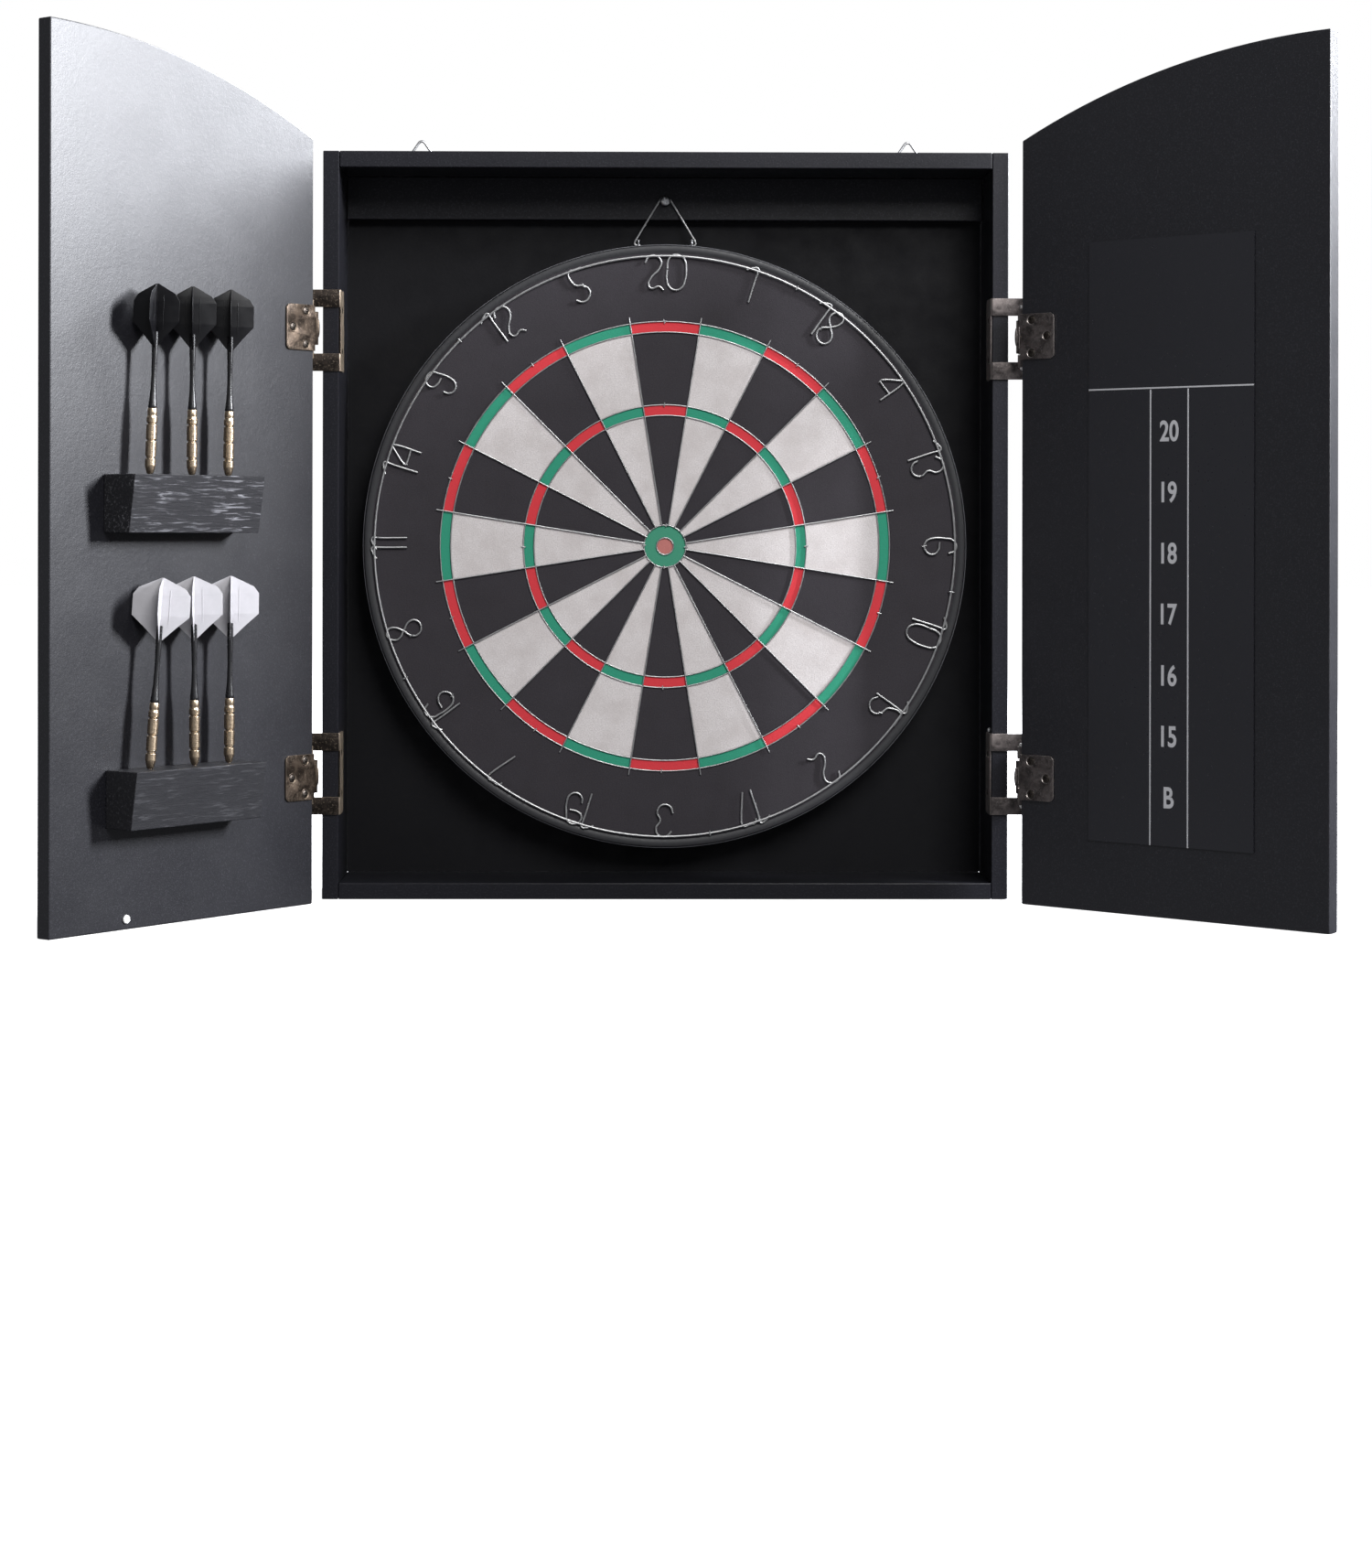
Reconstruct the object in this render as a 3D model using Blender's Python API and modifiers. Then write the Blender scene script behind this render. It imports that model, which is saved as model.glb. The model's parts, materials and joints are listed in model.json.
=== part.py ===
"""Dart board cabinet: a shallow wall box with a dart board, two arched doors and six darts.

Metres, +Z up. The origin is the centre of the back panel's rear face, on the wall.
-Y is the front and the doors stand open. Run with: blender --background --python part.py
"""

import math

import bmesh
import bpy
from mathutils import Matrix, Vector

GAP = 0.0003  # left between pieces that touch

# Box
BOX_WIDTH = 0.510
BOX_HEIGHT = 0.556
BOX_DEPTH = 0.080
WALL = 0.012
BACK_THICKNESS = 0.005
RAIL_HEIGHT = 0.0323
PANEL_EDGE = 0.0006

# Doors, as they stand when closed: together they make one arch
DOOR_PAIR_WIDTH = 0.512
DOOR_WIDTH = 0.2546
DOOR_THICKNESS = 0.012
DOOR_SIDE_HEIGHT = 0.562
DOOR_CENTRE_HEIGHT = 0.618
DOOR_BOTTOM = -0.2783
DOOR_CLEARANCE = 0.0022  # between the box front and a closed door
DOOR_EDGE = 0.001
LEFT_OPEN = math.radians(127.7)
RIGHT_OPEN = math.radians(137.7)

# Hinges: the pin stands outboard of the door's edge and in front of its inner face
PIN_OUT = 0.0076
PIN_FORWARD = 0.011
PIN_RADIUS = 0.0012
PIN_BORE = 0.0015
SHEET = 0.0012
HINGE_HEIGHT = 0.0605
HINGE_WINDOW = 0.0345
DOOR_LEAF_WIDTH = 0.029
DOOR_LEAF_HEIGHT = 0.0335
DOOR_KNUCKLE = 0.0123  # half height of the middle knuckle
KNUCKLE_TOP = 0.0216
HINGES = {
    "upper_left": (-1, 0.1445),
    "upper_right": (1, 0.1393),
    "lower_left": (-1, -0.1848),
    "lower_right": (1, -0.1848),
}

# Dart board, on its V-shaped bail
BOARD_RADIUS = 0.2285
BOARD_CENTRE = -0.0156
BOARD_FACE = -0.040
BOARD_REAR = -0.008
BACKING_THICKNESS = 0.008
BAND_THICKNESS = 0.0006
SCORING_RINGS = (0.170, 0.162, 0.107, 0.099, 0.0159)
BULLSEYE_RING = 0.00635
RADIAL_END = 0.175
NUMBER_RING = 0.2195
DIGIT_HEIGHT = 0.026
DIGIT_WIDTH = 0.0135
DIGIT_PITCH = 0.0165
NUMBERS = (20, 1, 18, 4, 13, 6, 10, 15, 2, 17, 3, 19, 7, 16, 8, 11, 14, 9, 12, 5)
SCREW_HEIGHT = 0.2478
SCREW_RADIUS = 0.00175
BAIL_RADIUS = 0.0011
BAIL_HALF_SPAN = 0.0235
BAIL_Y = -0.0195
NAIL_X = 0.0203

# Fittings on the doors, from the hinge edge, from the inner face and from mid-height
HOLDER_WIDTH = 0.1244
HOLDER_HEIGHT = 0.040
HOLDER_TOP_DEPTH = 0.031
HOLDER_BOTTOM_DEPTH = 0.025
DART_FROM_DOOR = 0.0165
HOLDERS = {"upper": (0.1438, 0.0342), "lower": (0.1416, -0.1677)}
DART_RESTS = {"upper": (0.1036, 0.1391, 0.1789), "lower": (0.1025, 0.1360, 0.1783)}
DART_LEANS = {"upper": (1.1, 0.3, 3.0), "lower": (0.7, -0.4, 5.3)}
FLIGHT_TURNS = {"upper": (45, 45, 30), "lower": (45, 42, 40)}
FLIGHT_RADIUS = {"upper": 0.0162, "lower": 0.0198}
FLIGHT_THICKNESS = 0.0005
DART_LENGTH = 0.1315
BARREL_TOP = 0.0455
BARREL_RADIUS = 0.00375
POINT_LENGTH = 0.030
POINT_RADIUS = 0.00115
POINT_HOLE = 0.0018
SHAFT_TOP = 0.0985
SLOT_BOTTOM = 0.0865
SCORE_PANEL_EDGES = (0.0594, 0.1960)
SCORE_PANEL_HEIGHTS = (-0.2270, 0.2053)
SCORE_PANEL_THICKNESS = 0.0008

# Hangers, let into the rear so that the box lies flat on the wall
HANGER_X = 0.1867
HANGER_PIVOT = 0.2755
HANGER_RING_HEIGHT = 0.0213  # to the apex, before it is rounded
HANGER_RING_WIDTH = 0.0333
HANGER_RING_CORNER = 0.0028
HANGER_WIRE = 0.001
RECESS_WIDTH = 0.037
RECESS_BOTTOM = 0.252
STRAP_WIDTH = 0.012
STRAP_LENGTH = 0.022
STRAP_THICKNESS = 0.001

# Where the driving dimensions put things
HALF_WIDTH = BOX_WIDTH / 2
HALF_HEIGHT = BOX_HEIGHT / 2
INNER_X = HALF_WIDTH - WALL
INNER_Z = HALF_HEIGHT - WALL
RECESS_FLOOR = -BACK_THICKNESS - GAP
DOOR_FACE = -BOX_DEPTH - DOOR_CLEARANCE
PIN_X = DOOR_PAIR_WIDTH / 2 + PIN_OUT
PIN_Y = DOOR_FACE - PIN_FORWARD
ARCH_RISE = DOOR_CENTRE_HEIGHT - DOOR_SIDE_HEIGHT
ARCH_RADIUS = ((DOOR_PAIR_WIDTH / 2) ** 2 + ARCH_RISE**2) / (2 * ARCH_RISE)


def clear_scene():
    for obj in list(bpy.data.objects):
        bpy.data.objects.remove(obj)


def new_collection(name, parent):
    collection = bpy.data.collections.new(name)
    parent.children.link(collection)
    return collection


def new_material(name, colour, roughness, metallic=0.0):
    material = bpy.data.materials.new(name)
    material.use_nodes = True
    shader = material.node_tree.nodes["Principled BSDF"]
    shader.inputs["Base Color"].default_value = (*colour, 1.0)
    shader.inputs["Roughness"].default_value = roughness
    shader.inputs["Metallic"].default_value = metallic
    material.diffuse_color = (*colour, 1.0)
    return material


clear_scene()
ROOT = bpy.context.scene.collection
PARTS = new_collection("dart_board_cabinet", ROOT)
CUTTERS = new_collection("cutters", ROOT)
BLACK_PAINT = new_material("black_paint", (0.018, 0.018, 0.021), 0.45)
HARDBOARD = new_material("hardboard", (0.016, 0.016, 0.018), 0.6)
BLACK_WOOD = new_material("black_wood", (0.03, 0.03, 0.033), 0.5)
ANTIQUE_BRASS = new_material("antique_brass", (0.24, 0.17, 0.11), 0.42, 0.9)
STEEL = new_material("steel", (0.62, 0.61, 0.6), 0.3, 1.0)
BOARD_FIBRE = new_material("board_fibre", (0.024, 0.021, 0.025), 0.9)
CHIPBOARD = new_material("chipboard", (0.3, 0.22, 0.13), 0.85)
BRASS = new_material("barrel_brass", (0.61, 0.46, 0.26), 0.35, 1.0)
BLACK_PLASTIC = new_material("black_plastic", (0.012, 0.012, 0.013), 0.3)
BLACK_FLIGHT = new_material("black_flight", (0.01, 0.01, 0.012), 0.35)
WHITE_FLIGHT = new_material("white_flight", (0.86, 0.86, 0.88), 0.35)
SCORE_SHEET = new_material("score_sheet", (0.03, 0.03, 0.033), 0.3)
WHITE_RUBBER = new_material("white_rubber", (0.85, 0.85, 0.84), 0.5)


def shade(obj):
    obj.data.shade_smooth()
    obj.data.set_sharp_from_angle(angle=math.radians(35))


def add_object(name, mesh, material, at=(0.0, 0.0, 0.0), parent=None):
    """One named part, or a cutter where there is no material."""
    obj = bpy.data.objects.new(name, mesh)
    obj.location = at
    obj.parent = parent
    if material:
        PARTS.objects.link(obj)
        mesh.materials.append(material)
        shade(obj)
    else:
        CUTTERS.objects.link(obj)
        obj.hide_render = True
        obj.display_type = "WIRE"
    return obj


def mesh_from(shape, name):
    mesh = bpy.data.meshes.new(name)
    shape.to_mesh(mesh)
    shape.free()
    return mesh


def round_edges(obj, width, segments=2):
    bevel = obj.modifiers.new("rounded_edges", "BEVEL")
    bevel.width = width
    bevel.segments = segments
    bevel.limit_method = "ANGLE"
    bevel.angle_limit = math.radians(40)


def block(name, one, other, material=None, parent=None, edge=0.0):
    """A box between two opposite corners."""
    low = Vector(map(min, one, other))
    high = Vector(map(max, one, other))
    shape = bmesh.new()
    bmesh.ops.create_cube(shape, size=1.0, matrix=Matrix.Diagonal((*(high - low), 1.0)))
    obj = add_object(name, mesh_from(shape, name), material, (low + high) / 2, parent)
    if edge:
        round_edges(obj, edge)
    return obj


def rod(name, one, other, radius, sides, material=None, parent=None):
    """A straight cylinder from one point to another."""
    start, end = Vector(one), Vector(other)
    along = end - start
    shape = bmesh.new()
    bmesh.ops.create_cone(
        shape,
        cap_ends=True,
        segments=sides,
        radius1=radius,
        radius2=radius,
        depth=along.length,
        matrix=along.to_track_quat("Z", "Y").to_matrix().to_4x4(),
    )
    return add_object(name, mesh_from(shape, name), material, (start + end) / 2, parent)


def turned(name, profile, sides, material, at=(0.0, 0.0, 0.0), parent=None, closed=False):
    """A profile of radius and height, top to bottom down its outer side, turned about Z."""
    shape = bmesh.new()
    points = [shape.verts.new((radius, 0.0, height)) for radius, height in profile]
    for start, end in zip(points, points[1:]):
        shape.edges.new((start, end))
    if closed:
        shape.edges.new((points[-1], points[0]))
    obj = add_object(name, mesh_from(shape, name), material, at, parent)
    screw = obj.modifiers.new("turn", "SCREW")
    screw.steps = sides
    screw.render_steps = sides
    screw.use_merge_vertices = True
    screw.merge_threshold = 0.00001
    return obj


def add_spline(curve, points, cyclic):
    spline = curve.splines.new("POLY")
    spline.points.add(len(points) - 1)
    for point, place in zip(spline.points, points):
        point.co = (*place, 1.0)
    spline.use_cyclic_u = cyclic


def mesh_from_curve(curve, turn):
    """The curve's mesh with its caps welded, turned by a matrix."""
    guide = bpy.data.objects.new("guide", curve)
    CUTTERS.objects.link(guide)
    graph = bpy.context.evaluated_depsgraph_get()
    mesh = bpy.data.meshes.new_from_object(guide.evaluated_get(graph))
    shape = bmesh.new()
    shape.from_mesh(mesh)
    bmesh.ops.remove_doubles(shape, verts=shape.verts, dist=0.000001)
    bmesh.ops.transform(shape, matrix=turn, verts=shape.verts)
    bmesh.ops.recalc_face_normals(shape, faces=shape.faces)
    shape.to_mesh(mesh)
    shape.free()
    mesh.materials.clear()
    bpy.data.objects.remove(guide)
    bpy.data.curves.remove(curve)
    return mesh


def plate(name, outline, thickness, material=None, at=(0.0, 0.0, 0.0), parent=None, turn=0.0):
    """A flat outline of x and z, extruded along y, then turned about z."""
    curve = bpy.data.curves.new(name, "CURVE")
    curve.dimensions = "2D"
    curve.fill_mode = "BOTH"
    curve.extrude = thickness / 2
    add_spline(curve, [(x, z, 0.0) for x, z in outline], True)
    upright = Matrix.Rotation(turn, 4, "Z") @ Matrix.Rotation(math.pi / 2, 4, "X")
    return add_object(name, mesh_from_curve(curve, upright), material, at, parent)


def wire(name, points, radius, material=None, cyclic=False, resolution=0, parent=None):
    """A round wire along the points."""
    curve = bpy.data.curves.new(name, "CURVE")
    curve.dimensions = "3D"
    curve.bevel_depth = radius
    curve.bevel_resolution = resolution
    curve.use_fill_caps = True
    add_spline(curve, points, cyclic)
    return add_object(name, mesh_from_curve(curve, Matrix.Identity(4)), material, parent=parent)


def combine(obj, others, operation):
    for other in others:
        modifier = obj.modifiers.new(other.name, "BOOLEAN")
        modifier.operation = operation
        modifier.object = other


def unite_all(obj, others, name):
    """Joins many helpers to the object with one modifier."""
    group = new_collection(name, CUTTERS)
    for other in others:
        CUTTERS.objects.unlink(other)
        group.objects.link(other)
    modifier = obj.modifiers.new(name, "BOOLEAN")
    modifier.operation = "UNION"
    modifier.operand_type = "COLLECTION"
    modifier.collection = group


def rounded(corners, radius, steps=3, closed=True):
    """The path with an arc of this radius in place of each corner."""
    points = []
    count = len(corners)
    for index, corner in enumerate(corners):
        here = Vector(corner)
        if not closed and index in (0, count - 1):
            points.append(here)
            continue
        before = (Vector(corners[index - 1]) - here).normalized()
        after = (Vector(corners[(index + 1) % count]) - here).normalized()
        half = before.angle(after) / 2
        centre = here + (before + after).normalized() * radius / math.sin(half)
        spoke = here + before * radius / math.tan(half) - centre
        turn = math.copysign(math.pi - 2 * half, -before.cross(after))
        for step in range(steps + 1):
            points.append(centre + Matrix.Rotation(turn * step / steps, 2) @ spoke)
    return points


def bent_sheet(name, path, height, material, at, parent=None):
    """A strip of sheet metal standing on a path of x and y, centred on z."""
    shape = bmesh.new()
    low, high = ([shape.verts.new((x, y, z)) for x, y in path] for z in (-height / 2, height / 2))
    for corners in zip(low, low[1:], high[1:], high):
        shape.faces.new(corners)
    obj = add_object(name, mesh_from(shape, name), material, at, parent)
    solidify = obj.modifiers.new("sheet", "SOLIDIFY")
    solidify.thickness = SHEET
    solidify.offset = 0.0
    solidify.use_even_offset = True
    return obj


def ring_points(radius, count, depth):
    """Points round the dart board's centre, none of them where a radial wire crosses."""
    turns = [2 * math.pi * (step + 0.5) / count for step in range(count)]
    return [board_point(turn, radius, depth) for turn in turns]


def board_point(turn, radius, depth):
    """A point of the dart board, clockwise from its top as the player sees it."""
    return (radius * math.sin(turn), depth, BOARD_CENTRE + radius * math.cos(turn))


def make_box():
    for name, side in (("side_panel_left", -1), ("side_panel_right", 1)):
        low = (side * INNER_X, -BOX_DEPTH, -HALF_HEIGHT)
        block(name, low, (side * HALF_WIDTH, 0.0, HALF_HEIGHT), BLACK_PAINT, edge=PANEL_EDGE)
    across = INNER_X - GAP
    up = INNER_Z - GAP
    low = (-across, -BOX_DEPTH, -HALF_HEIGHT)
    block("bottom_panel", low, (across, 0.0, -INNER_Z), BLACK_PAINT, edge=PANEL_EDGE)
    low = (-across, -BOX_DEPTH, INNER_Z)
    top = block("top_panel", low, (across, 0.0, HALF_HEIGHT), BLACK_PAINT, edge=PANEL_EDGE)
    back = block("back_panel", (-across, -BACK_THICKNESS, -up), (across, 0.0, up), HARDBOARD)
    for name, side in (("left", -1), ("right", 1)):
        low = (side * HANGER_X - RECESS_WIDTH / 2, RECESS_FLOOR, RECESS_BOTTOM)
        high = (side * HANGER_X + RECESS_WIDTH / 2, WALL, HALF_HEIGHT + WALL)
        recess = block(f"hanger_recess_{name}", low, high)
        combine(top, [recess], "DIFFERENCE")
        combine(back, [recess], "DIFFERENCE")
    low = (-across, RECESS_FLOOR - WALL, up - RAIL_HEIGHT)
    rail = block("hanging_rail", low, (across, RECESS_FLOOR, up), BLACK_PAINT, edge=PANEL_EDGE)
    start = (0.0, -BOX_DEPTH, SCREW_HEIGHT)
    bore = rod("screw_bore", start, (0.0, 0.0, SCREW_HEIGHT), SCREW_RADIUS + GAP, 12)
    combine(rail, [bore], "DIFFERENCE")
    peg_x = INNER_X - GAP
    peg = (peg_x, -0.068, -0.1526)
    rod("wall_peg", peg, (peg_x - 0.0012, *peg[1:]), 0.0015, 12, WHITE_RUBBER)


def make_hanging_screw():
    """A pan-head screw whose head holds the bail on its shank."""
    head_rear = 0.0213
    profile = (
        (0.0, head_rear + 0.0022),
        (0.0022, head_rear + 0.0020),
        (0.0035, head_rear + 0.0013),
        (0.0039, head_rear + 0.0004),
        (0.0039, head_rear),
        (SCREW_RADIUS, head_rear),
        (SCREW_RADIUS, 0.0090),
        (0.0, 0.0068),
    )
    screw = turned("hanging_screw", profile, 16, STEEL, (0.0, 0.0, SCREW_HEIGHT))
    screw.rotation_euler.x = math.pi / 2


def make_hangers():
    strap_front = RECESS_FLOOR + GAP
    bore = HANGER_WIRE + GAP
    sleeve_radius = bore + 0.0007
    pivot_y = strap_front + sleeve_radius
    corners = (
        (-HANGER_RING_WIDTH / 2, 0.0),
        (HANGER_RING_WIDTH / 2, 0.0),
        (0.0, HANGER_RING_HEIGHT),
    )
    ring = rounded(corners, HANGER_RING_CORNER)
    for name, side in (("left", -1), ("right", 1)):
        x = side * HANGER_X
        low = (x - STRAP_WIDTH / 2, strap_front, HANGER_PIVOT - STRAP_LENGTH)
        high = (x + STRAP_WIDTH / 2, strap_front + STRAP_THICKNESS, HANGER_PIVOT)
        strap = block(f"hanger_strap_{name}", low, high, STEEL)
        ends = [(x + end * STRAP_WIDTH / 2, pivot_y, HANGER_PIVOT) for end in (-1, 1)]
        sleeve = rod(f"strap_sleeve_{name}", *ends, sleeve_radius, 12)
        long_ends = [(x + end * STRAP_WIDTH, pivot_y, HANGER_PIVOT) for end in (-1, 1)]
        sleeve_bore = rod(f"sleeve_bore_{name}", *long_ends, bore, 10)
        hole_z = HANGER_PIVOT - 0.014
        hole = rod(f"strap_hole_{name}", (x, -0.01, hole_z), (x, 0.01, hole_z), 0.0017, 10)
        combine(strap, [sleeve], "UNION")
        combine(strap, [sleeve_bore, hole], "DIFFERENCE")
        loop = [(x + across, pivot_y, HANGER_PIVOT + up) for across, up in ring]
        wire(f"hanger_ring_{name}", loop, HANGER_WIRE, STEEL, cyclic=True, resolution=2)


def make_board():
    """Face, backing and band are turned about the board's own axis, which points to the front."""
    seam = BOARD_REAR - BACKING_THICKNESS
    core = BOARD_RADIUS - BAND_THICKNESS - GAP
    face = (
        (0.0, -BOARD_FACE),
        (core - 0.0016, -BOARD_FACE),
        (core, -BOARD_FACE - 0.0012),
        (core, -seam + GAP),
        (0.0, -seam + GAP),
    )
    backing = ((0.0, -seam), (core, -seam), (core, -BOARD_REAR), (0.0, -BOARD_REAR))
    band = (
        (BOARD_RADIUS, -BOARD_FACE - 0.0015),
        (BOARD_RADIUS, -BOARD_REAR),
        (BOARD_RADIUS - BAND_THICKNESS, -BOARD_REAR),
        (BOARD_RADIUS - BAND_THICKNESS, -BOARD_FACE - 0.0015),
    )
    centre = (0.0, 0.0, BOARD_CENTRE)
    pieces = {
        "dartboard_face": turned("dartboard_face", face, 64, BOARD_FIBRE, centre),
        "dartboard_backing": turned("dartboard_backing", backing, 48, CHIPBOARD, centre),
        "dartboard_band": turned("dartboard_band", band, 64, STEEL, centre, closed=True),
    }
    for piece in pieces.values():
        piece.rotation_euler.x = math.pi / 2
    return pieces


def make_bail(board):
    """The wire hooks over the screw and its ends turn in behind two nails in the board's rim."""
    foot_x = BAIL_HALF_SPAN
    rim = BOARD_CENTRE + math.sqrt(BOARD_RADIUS**2 - foot_x**2)
    foot = rim + BAIL_RADIUS + 3 * GAP
    crown = SCREW_HEIGHT + SCREW_RADIUS + BAIL_RADIUS + GAP
    half = [(0.0035, crown - 0.0012), (foot_x, foot + 0.0025)]
    half += [(foot_x + 0.0002, foot + 0.0008), (foot_x - 0.0012, foot), (NAIL_X - 0.0012, foot)]
    path = [(-x, BAIL_Y, z) for x, z in reversed(half)]
    path += [(0.0, BAIL_Y, crown)]
    path += [(x, BAIL_Y, z) for x, z in half]
    wire("bail_wire", path, BAIL_RADIUS, STEEL, resolution=1)
    nail_y = BAIL_Y - BAIL_RADIUS - 0.0007 - GAP
    head = foot + 0.0045
    profile = (
        (0.0, head),
        (0.0015, head - 0.0002),
        (0.0015, head - 0.0008),
        (0.0007, head - 0.0009),
        (0.0007, rim - 0.009),
        (0.0, rim - 0.011),
    )
    for name, side in (("left", -1), ("right", 1)):
        x = side * NAIL_X
        turned(f"bail_nail_{name}", profile, 10, STEEL, (x, nail_y, 0.0))
        low = (x, nail_y, rim - 0.012)
        hole = rod(f"nail_hole_{name}", low, (x, nail_y, rim + 0.01), 0.001, 10)
        combine(board["dartboard_face"], [hole], "DIFFERENCE")
        combine(board["dartboard_band"], [hole], "DIFFERENCE")


def make_spider():
    """The scoring rings and the wires between the sectors, welded into one web."""
    radius = 0.0007
    depth = BOARD_FACE - GAP - radius
    outer, *others = SCORING_RINGS
    spider = wire("dartboard_spider", ring_points(outer, 40, depth), radius, STEEL, cyclic=True)
    helpers = []
    for index, ring in enumerate(others):
        points = ring_points(ring, 40, depth)
        helpers.append(wire(f"spider_ring_{index}", points, radius, cyclic=True))
    for index in range(len(NUMBERS)):
        turn = 2 * math.pi * (index + 0.5) / len(NUMBERS)
        ends = [board_point(turn, end, depth - 0.0002) for end in (SCORING_RINGS[-1], RADIAL_END)]
        helpers.append(wire(f"spider_radial_{index}", ends, radius))
    unite_all(spider, helpers, "spider_wires")
    bullseye = ring_points(BULLSEYE_RING, 16, depth)
    wire("bullseye_ring", bullseye, radius, STEEL, cyclic=True)


def arc(x, y, radius_x, radius_y, start, end, steps):
    """Points along an ellipse, in degrees from +x towards +y."""
    turns = [math.radians(start + (end - start) * step / steps) for step in range(steps + 1)]
    return [(x + radius_x * math.cos(turn), y + radius_y * math.sin(turn)) for turn in turns]


# Strokes of each digit in a cell one high and one wide; True closes a stroke into a loop.
DIGITS = {
    0: ((arc(0.5, 0.49, 0.5, 0.49, 90, 390, 5), True),),
    1: (([(0.5, 0.0), (0.5, 1.0)], False),),
    2: ((arc(0.5, 0.7, 0.45, 0.28, 170, -30, 3) + [(0.05, 0.02), (0.95, 0.02)], False),),
    3: (
        (arc(0.45, 0.74, 0.45, 0.24, 150, -60, 3) + arc(0.45, 0.26, 0.5, 0.26, 60, -150, 3), False),
    ),
    4: (([(0.75, 0.0), (0.75, 1.0)], False), ([(0.62, 0.98), (0.0, 0.3), (1.0, 0.3)], False)),
    5: (([(0.1, 1.0), (0.08, 0.55)] + arc(0.45, 0.3, 0.5, 0.28, 110, -150, 4), False),),
    6: (
        (arc(0.5, 0.3, 0.5, 0.3, 0, 300, 5), True),
        ([(0.9, 0.98), (0.4, 0.85), (0.06, 0.4)], False),
    ),
    7: (([(0.95, 1.0), (0.35, 0.0)], False),),
    8: (
        (arc(0.5, 0.75, 0.42, 0.24, 0, 300, 5), True),
        (arc(0.5, 0.27, 0.5, 0.27, 0, 300, 5), True),
    ),
    9: (
        (arc(0.5, 0.69, 0.5, 0.29, 0, 300, 5), True),
        ([(0.94, 0.6), (0.6, 0.15), (0.1, 0.02)], False),
    ),
}


def make_number_ring():
    """A wire ring whose bent-wire digits hang inwards, with their tops on the ring."""
    radius = 0.0010
    depth = BOARD_FACE - 3 * GAP - radius
    ring = wire("number_ring", ring_points(NUMBER_RING, 60, depth), radius, STEEL, cyclic=True)
    strokes = []
    for index, number in enumerate(NUMBERS):
        text = str(number)
        for place, digit in enumerate(text):
            start = (place - len(text) / 2) * DIGIT_PITCH + (DIGIT_PITCH - DIGIT_WIDTH) / 2
            for points, cyclic in DIGITS[int(digit)]:
                path = []
                for x, y in points:
                    turn = 2 * math.pi * index / len(NUMBERS) + (start + x * DIGIT_WIDTH) / NUMBER_RING
                    reach = NUMBER_RING - (1 - y) * DIGIT_HEIGHT
                    path.append(board_point(turn, reach, depth + 0.00015))
                name = f"digit_{number}_{place}_{len(strokes)}"
                strokes.append(wire(name, path, 0.0008, cyclic=cyclic))
    unite_all(ring, strokes, "number_strokes")


def door_frame(name, side, opening):
    """An empty on the pin's axis. In it the door lies as when closed."""
    empty = bpy.data.objects.new(name, None)
    empty.location = (side * PIN_X, PIN_Y, 0.0)
    empty.rotation_euler.z = side * opening
    PARTS.objects.link(empty)
    return empty


def door_point(side, from_edge, from_face, z):
    """A point of a door in its empty's frame."""
    return Vector((-side * (from_edge + PIN_OUT), PIN_FORWARD + from_face, z))


def make_door(name, side, frame):
    """Half of the arch, with its edges eased."""
    steps = 20
    top = DOOR_BOTTOM + DOOR_CENTRE_HEIGHT - ARCH_RADIUS
    half_pair = DOOR_PAIR_WIDTH / 2
    outline = [(0.0, DOOR_BOTTOM), (DOOR_WIDTH, DOOR_BOTTOM)]
    for step in range(steps + 1):
        edge = DOOR_WIDTH * (1 - step / steps)
        outline.append((edge, top + math.sqrt(ARCH_RADIUS**2 - (half_pair - edge) ** 2)))
    outline = [(-side * edge, z) for edge, z in outline]
    at = door_point(side, 0.0, -DOOR_THICKNESS / 2, 0.0)
    door = plate(name, outline, DOOR_THICKNESS, BLACK_PAINT, at, frame)
    round_edges(door, DOOR_EDGE)
    return door


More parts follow.
